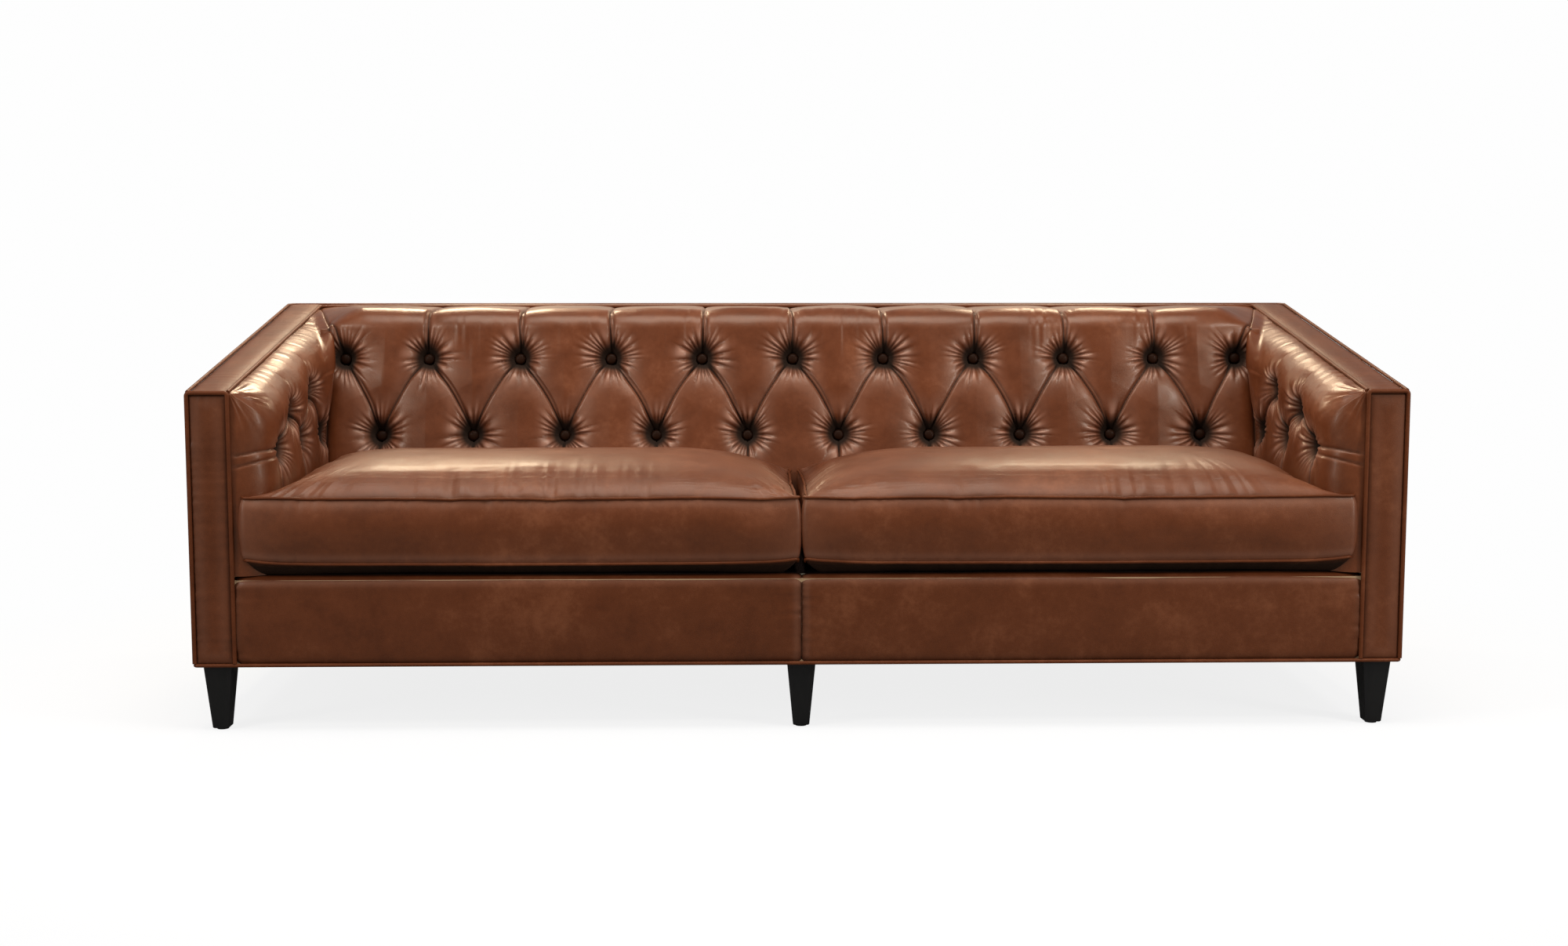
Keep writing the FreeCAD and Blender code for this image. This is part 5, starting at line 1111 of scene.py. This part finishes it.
def makeCushion(side, word):
    c, look, tag, seed = cushion, coverLook, word.lower(), 400 + side
    crown = c["crown"]
    crown -= coverCloth["most"] * 0.85  # the cloth step adds the rest
    x, y, around = cushionOutline()
    rearTop = cushionRear()
    middleY = (c["front"] + rearTop) / 2
    half = (rearTop - c["front"]) / 2
    spineX = np.clip(x, c["inner"] + half * 0.95, c["outer"] - half * 0.95)
    spineY = np.full_like(x, middleY)
    qx = (x - (c["inner"] + c["tip"]) / 2) / ((c["tip"] - c["inner"]) / 2)
    qy = (y - middleY) / half
    cornerness = np.clip(np.abs(qx), 0, 1) ** 10 * np.clip(np.abs(qy), 0, 1) ** 10
    isFront = ramp(-0.86, -0.98, qy)
    atEnd = ramp(0.55, 1.0, np.abs(qx))
    atRear = ramp(0.90, 0.99, qy)
    outX = np.gradient(y)
    outY = -np.gradient(x)
    size = np.hypot(outX, outY)
    outX, outY = outX / size, outY / size

    def lean(z):  # the rear boxing leans with the back
        behind = ramp(0.2, 1.0, qy)
        return -(crestY(c["seamTop"]) - crestY(z)) * behind

    rows, paintedShades, stretchSheens = [], [], []
    rough = noise(seed, around, around * 0, 0.0080)
    # top, from the middle out to the seam
    middle = np.linspace(0.02, 0.80, 56, endpoint=False)
    rim = 1 - 0.2 * np.linspace(1, 0, 44) ** 1.3  # closer rows towards the seam
    for share in np.concatenate([middle, rim]):
        px, py = spineX + (x - spineX) * share, spineY + (y - spineY) * share
        distance = np.hypot(x - px, y - py)
        uneven = 1 + 0.02 * noise(seed + 1, px, py, 0.25)
        z = c["seamTop"] + crown * crownShare(px, py, share, atEnd) * uneven
        pucker = np.exp(-((distance / look["puckerReach"]) ** 1.5)) * (1 - np.exp(-distance / 0.005))
        patchy = ramp(-0.4, 0.6, noise(seed + 2, around, distance, 0.16, 0.30))
        drawn = rough + 0.7 * noise(seed + 3, around, distance, 0.015, 0.05)
        z = z + look["pucker"] * pucker * patchy * drawn
        z = z + look["waves"] * noise(seed + 4, px, py, 0.17) * (1 - share**6)
        z = z + look["fine"] * noise(seed + 5, px, py, 0.045) * (1 - share**6)
        z = z - look["seamDrop"] * np.exp(-distance / look["seamReach"])
        rows.append(np.stack([px, py, z], axis=1))
        # painted shade along the top seam
        paintedShades.append(look["crease"] * np.exp(-distance / look["creaseReach"]))
        # a paler band beside the seam and a paler middle: stretched leather with a painted highlight
        tautsheen = look["tautsheen"] * np.exp(-(((distance - 0.018) / 0.012) ** 2))
        stretchSheens.append(tautsheen + 0.07 * (1 - share**3))
    # boxing, from the top seam down
    down = np.linspace(0, 1, 40)[1:-1]
    for t in down:
        z = c["seamTop"] + (c["seamLow"] + c["cornerLift"] * cornerness * isFront - c["seamTop"]) * t
        toSeam = min(t, 1 - t) * (c["seamTop"] - c["seamLow"])
        bulge = (c["bulge"] * isFront + look["sides"]) * (4 * t * (1 - t)) ** 0.7
        bulge = bulge - look["seamDrop"] * math.exp(-toSeam / look["seamReach"])
        gathers = ramp(0.0, 0.5, noise(seed + 10, around, around * 0, 0.12))
        drawn = noise(seed + 6, around, around * 0 + t, 0.009, 0.5)
        bulge = bulge + look["gather"] * gathers * math.exp(-toSeam / look["gatherReach"]) * drawn
        waves = noise(seed + 7, around, around * 0 + t * 0.124, 0.14, 0.07)
        bulge = bulge + look["boxingWaves"] * waves
        # the rear boxing is flat under its zip
        flat = look["zipFlat"] - look["zipDrop"] * math.exp(-toSeam / look["seamReach"])
        bulge = bulge + (flat - bulge) * atRear
        rows.append(np.stack([x + outX * bulge, y + outY * bulge + lean(z), z], axis=1))
        # painted shade along both seams of the boxing
        paintedShades.append(np.full_like(x, look["crease"] * math.exp(-toSeam / look["creaseReach"])))
        # paler bands beside the seams and at the corners: stretched leather with a painted highlight
        tautsheen = look["tautsheen"] * math.exp(-(((toSeam - 0.010) / 0.008) ** 2))
        stretchSheens.append(tautsheen + 0.06 * cornerness)
    # belly, from the low seam in to the middle
    inwards = np.concatenate([np.linspace(1, 0.80, 30), np.linspace(0.80, 0.02, 20)[1:]])
    for k, share in enumerate(inwards):
        z0 = c["seamLow"] + c["cornerLift"] * cornerness * isFront
        px, py = spineX + (x - spineX) * share, spineY + (y - spineY) * share
        distance = np.hypot(x - px, y - py)
        sink = np.clip(distance / c["belly"], 0, 1)
        z = c["rest"] + (z0 - c["rest"]) * (1 - sink) ** 1.7
        z = z + look["bellyWaves"] * noise(seed + 8, px, py, 0.06)
        drawn = noise(seed + 9, around, distance, 0.010, 0.05)
        z = z + look["bellyPucker"] * np.exp(-distance / 0.03) * drawn
        rows.append(np.stack([px, py + lean(z0) * share, np.maximum(z, c["rest"] - 0.0002)], axis=1))
        # painted shade over the belly under the cushion
        paintedShades.append(np.full_like(x, 0.60 + 0.35 * min(k / 5, 1)))
        stretchSheens.append(np.zeros_like(x))
    grid = np.stack(rows)
    topRows, boxRows = len(middle) + len(rim), len(down)
    seams = [topRows - 1, topRows + boxRows]  # the rows that the two seams follow
    seamRows = np.zeros((2, len(x), 3))
    shift = coverShift(grid, word)
    belly = np.linspace(0.6, 0, len(inwards)) ** 2
    fade = np.concatenate([np.ones(topRows), np.linspace(1, 0.6, boxRows), belly])
    shift *= fade[:, None, None]
    outward = shift[:, :, 0] * outX + shift[:, :, 1] * outY
    allowed = coverCloth["beside"] + (coverCloth["front"] - coverCloth["beside"]) * isFront
    excess = np.maximum(outward - allowed, 0)
    still = np.interp(np.arange(len(grid)), [80, *seams, 150], [0, 1, 1, 0])[:, None] * atRear
    excess += (outward - excess) * still  # the rear boxing stays flat under its zip
    shift[:, :, 0] -= excess * outX
    shift[:, :, 1] -= excess * outY
    grid = grid + shift
    seamRows = shift[seams]
    if side < 0:
        grid = mirrorX(grid)
    points = grid.reshape(-1, 3)
    faces = gridFaces(*grid.shape[:2], wrapColumns=True, flip=side > 0)
    piece = addMesh(f"seatCushion{word}", points, faces, leather["seat"],
                    f"cushion_{tag}", (f"cushion_cover_{tag}", f"cushion_core_{tag}"),
                    {"paintedShade": np.stack(paintedShades), "stretchSheen": np.clip(np.stack(stretchSheens), 0, 0.8)})
    closeEnds(piece)
    rings = []
    out = 0.0012
    lowLift = c["cornerLift"] * cornerness * isFront
    for z, lift, moved in ((c["seamTop"], 0 * x, seamRows[0]), (c["seamLow"], lowLift, seamRows[1])):
        path = np.stack([x + outX * out, y + outY * out + lean(z + lift), z + lift], axis=1) + moved
        rings.append([Vector((side * px, py, pz)) for px, py, pz in path[::2]])
    addTube(f"cushionPiping{word}", rings, c["pipe"], leather["piping"],
            f"cushion_{tag}", (f"cushion_piping_{tag}",), closed=True)


def closeEnds(piece):  # fills the small holes in the middle of the top and belly
    work = bmesh.new()
    work.from_mesh(piece.data)
    bmesh.ops.holes_fill(work, edges=[edge for edge in work.edges if edge.is_boundary], sides=0)
    work.to_mesh(piece.data)
    work.free()


makeCushion(-1, "Left")
makeCushion(1, "Right")
print("cushions made")

# deck, underside, legs and zips

under = dict(
    deck=dict(x=(-1.0672, 1.0672, 260), y=(-0.4177, 0.1188, 90), top=0.2964, thick=0.0012),
    dust=dict(x=(-1.141, 1.141, 230), y=(-0.446, 0.451, 90), top=0.1268, thick=0.0006),
)


def clothGrid(cloth):
    return np.meshgrid(np.linspace(*cloth["x"]), np.linspace(*cloth["y"]), indexing="ij")


def addCloth(name, cloth, x, y, z, material, node):  # two layers, a cloth's thickness apart
    grid = np.stack([x, y, z], axis=2)
    low = grid - np.array([0, 0, cloth["thick"]])
    points, faces = joinGrids([(grid, {}), (low, dict(flip=True))])
    return addMesh(name, points, faces, material, "sofa_body", (node,))


def makeCloths():
    deck, dust = under["deck"], under["dust"]
    x, y = clothGrid(deck)
    z = deck["top"] + 0.0005 * noise(501, x, y, 0.09)
    cloth = addCloth("deckCloth", deck, x, y, z, plain["deck"], "deck_cover")
    x, y = clothGrid(dust)
    near = np.minimum(dust["x"][1] - np.abs(x), np.minimum(y - dust["y"][0], dust["y"][1] - y))
    z = dust["top"] - 0.0006 * ramp(0, 0.2, near) + 0.0002 * noise(502, x, y, 0.05)
    cloth = addCloth("underCloth", dust, x, y, z, plain["dust"], "dust_cover")


legShape = dict(x=1.107, y=0.412, top=0.027, foot=0.0155, high=0.1261, low=0.003, ease=0.0018)


def makeLeg(name, node, x, y):
    t, f, e = legShape["top"], legShape["foot"], legShape["ease"]
    low = legShape["low"]
    levels = [(legShape["high"], t, 0), (low + e, f + (t - f) * 0.02, 0), (low, f, e)]
    rings = []
    for z, half, inset in levels:
        ring = []
        h = half - inset
        for cx, cy, start in ((1, 1, 0), (-1, 1, 90), (-1, -1, 180), (1, -1, 270)):
            for k in range(5):
                turn = math.radians(start + 22.5 * k)
                ring.append((cx * (h - e) + e * math.cos(turn), cy * (h - e) + e * math.sin(turn), z))
        rings.append(ring)
    closed = np.array([rings[0], *rings, rings[-1]])
    closed[[0, -1], :, :2] *= 0.02  # closes the top and the sole
    grid = closed + np.array([x, y, 0])
    addMesh(name, grid, gridFaces(*grid.shape[:2], wrapColumns=True), plain["leg"],
            "sofa_body", (node,), smooth=False)


zipper = dict(teeth=386, pitch=0.002, across=0.0013, high=0.0034, thick=0.0016, lift=0.0026, stagger=0.0007,
              tapeHalf=0.4, tapeWide=0.013, tapeLift=0.0022)


def makeZip(side, word):
    z, lean, tag = zipper, rake["angle"], word.lower()
    middle = (cushion["seamTop"] + cushion["seamLow"]) / 2
    foot = np.array([(cushion["inner"] + cushion["outer"]) / 2, crestY(middle) - cushion["gap"], middle])
    along = np.array([1.0, 0, 0])
    up = np.array([0, math.sin(lean), math.cos(lean)])
    out = np.array([0, math.cos(lean), -math.sin(lean)])

    def at(a, b, c):  # a point on the rear boxing, from its distances along, up and out
        return foot + np.multiply.outer(a, along) + np.multiply.outer(b, up) + np.multiply.outer(c, out)

    a, b = np.meshgrid(np.linspace(-z["tapeHalf"], z["tapeHalf"], 240),
                       np.linspace(-z["tapeWide"], z["tapeWide"], 13), indexing="ij")
    tape = at(a, b, z["tapeLift"] + 0.0004 * np.sin(a * 90) * np.abs(b) / z["tapeWide"])
    cube = np.array([[0, 3, 2, 1], [4, 5, 6, 7], [0, 1, 5, 4], [1, 2, 6, 5], [2, 3, 7, 6], [3, 0, 4, 7]])
    corner = np.array([(dx, dz, w) for w in (0, 1) for dx, dz in ((-1, -1), (1, -1), (1, 1), (-1, 1))])
    k = np.arange(z["teeth"])[:, None]
    teeth = at(z["pitch"] * (k - z["teeth"] / 2) + corner[:, 0] * z["across"] / 2,
               np.where(k % 2, z["stagger"], -z["stagger"]) + corner[:, 1] * z["high"] / 2,
               z["lift"] + z["thick"] * corner[:, 2] + 0 * k).reshape(-1, 3)
    faces = (cube + 8 * k[:, :, None]).reshape(-1, 4)
    if side < 0:
        tape, teeth = mirrorX(tape), mirrorX(teeth)
    addMesh(f"zipTape{word}", tape, gridFaces(240, 13, flip=side > 0), plain["tape"],
            f"cushion_{tag}", (f"cushion_zip_{tag}",))
    addMesh(f"zipTeeth{word}", teeth, faces, plain["brass"], f"cushion_{tag}", smooth=False)


makeCloths()
for row, y in (("front", -legShape["y"]), ("back", legShape["y"])):
    for spot, x in (("left", -legShape["x"]), ("centre", 0), ("right", legShape["x"])):
        makeLeg(f"{row}{spot.title()}Leg", f"leg_{row}_{spot}", x, y)
makeZip(-1, "Left")
makeZip(1, "Right")

cadFinish = dict(
    frame="leg_blocks front_rail back_rail side_rails centre_stretcher back_seat_rail arm_posts"
          " arm_rails back_top_rail",
    ply="back_uprights back_top_board back_board arm_boards",
    steel="leg_fasteners seat_springs spring_fittings",
    hessian="spring_hessian", foam="deck_pad", nylon="leg_glides", twine="button_ties",
    brass="zip_slider_left zip_slider_right",
)
for key, names in cadFinish.items():
    for name in names.split():
        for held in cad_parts[name].material_slots:
            held.material = plain[key]
print("small pieces made")

# floor, light and camera

studio = dict(
    world=0.27, floor=14,
    lamps=[  # name, place, target, size, watts, colour
        ("overLeft", (-1.02, 1.45, 2.0), (-0.66, -0.1, 0.5), (0.6, 0.4), 24, (1.0, 0.82, 0.58)),
        ("overRight", (0.98, 1.45, 2.0), (0.60, -0.1, 0.5), (0.6, 0.4), 15, (1.0, 0.82, 0.58)),
        ("rearBand", (0.0, 2.7, 1.75), (0, 0, 0.6), (2.4, 1.0), 8, (1.0, 0.80, 0.56)),
        ("frontTop", (-0.1, -0.9, 3.2), (0, 0, 0.45), (3.0, 1.4), 80, (1.0, 0.98, 0.96)),
        ("leftHigh", (-2.3, -1.9, 2.2), (0, 0.1, 0.6), (0.6, 0.6), 20, (1.0, 0.97, 0.95)),
        ("rightHigh", (2.3, -1.9, 2.2), (0, 0.1, 0.6), (0.6, 0.6), 25, (1.0, 0.97, 0.95)),
        ("leftSide", (-2.9, -2.0, 1.0), (0, 0.1, 0.6), (0.3, 0.8), 14, (1.0, 0.97, 0.95)),
        ("rightSide", (2.9, -2.0, 1.0), (0, 0.1, 0.6), (0.3, 0.8), 22, (1.0, 0.97, 0.95)),
    ],
    camera=(-0.123, -4.11, 0.884), yaw=1.4, pitch=6.1, lens=44.9,
)


def makeStudio():
    scene = bpy.context.scene
    scene.view_settings.view_transform = "Standard"
    world = bpy.data.worlds.new("studioWorld")
    scene.world = world
    world.use_nodes = True
    n = Nodes(world.node_tree)
    surround = world.node_tree.nodes["Background"]
    out = world.node_tree.nodes["World Output"]
    n.fill(surround, {"Color": (1.0, 0.97, 0.94), "Strength": studio["world"]})
    white = n.add("Background", {"Color": (0.99, 0.99, 0.99, 1), "Strength": 1.0})
    seen = n.add("LightPath").outputs["Is Camera Ray"]
    both = n.add("MixShader", {0: seen, 1: surround.outputs[0], 2: white.outputs[0]})
    n.fill(out, {"Surface": both.outputs[0]})
    material, n, shader, place = newMaterial("paleFloor")
    seen = n.add("LightPath").outputs["Is Camera Ray"]
    pale = n.mix(n.noise(place, 3.0, 2.0), (0.94, 0.94, 0.94), (0.97, 0.97, 0.97))
    tone = n.mix(seen, (0.30, 0.30, 0.30), pale)
    n.fill(shader, {"Base Color": tone, "Roughness": 0.9, "Specular IOR Level": 0.1})
    far = n.add("VectorMath", {0: place}, operation="LENGTH").outputs["Value"]
    white = n.add("Emission", {"Color": (0.99, 0.99, 0.99, 1), "Strength": 1.0})
    share = n.times(n.ramp(far, 1.1, 2.2, 0.84, 1.0), seen)
    both = n.add("MixShader", {0: share, 1: shader.outputs[0], 2: white.outputs[0]})
    floorOut = next(node for node in n.tree.nodes if node.type == "OUTPUT_MATERIAL")
    n.fill(floorOut, {"Surface": both.outputs[0]})
    size = studio["floor"]
    mesh = bpy.data.meshes.new("floor")
    corners = [(-size, -size, 0), (size, -size, 0), (size, size, 0), (-size, size, 0)]
    mesh.from_pydata(corners, [], [(0, 1, 2, 3)])
    floor = bpy.data.objects.new("floor", mesh)
    mesh.materials.append(material)
    scene.collection.objects.link(floor)
    for name, place, target, area, power, colour in studio["lamps"]:
        light = bpy.data.lights.new(name, "AREA")
        light.shape = "RECTANGLE"
        light.size, light.size_y = area
        light.energy = power
        light.color = colour
        lamp = bpy.data.objects.new(name, light)
        lamp.location = place
        lamp.rotation_mode = "QUATERNION"
        lamp.rotation_quaternion = (Vector(target) - Vector(place)).to_track_quat("-Z", "Y")
        scene.collection.objects.link(lamp)
    camera = bpy.data.objects.new("photoCamera", bpy.data.cameras.new("photoCamera"))
    yaw, pitch = math.radians(studio["yaw"]), math.radians(studio["pitch"])
    look = Vector((math.sin(yaw) * math.cos(pitch), math.cos(yaw) * math.cos(pitch), -math.sin(pitch)))
    camera.location = studio["camera"]
    camera.rotation_mode = "QUATERNION"
    camera.rotation_quaternion = look.to_track_quat("-Z", "Y")
    camera.data.lens = studio["lens"]
    camera.data.sensor_width = 36
    scene.collection.objects.link(camera)
    scene.camera = camera


makeStudio()
print("studio made")
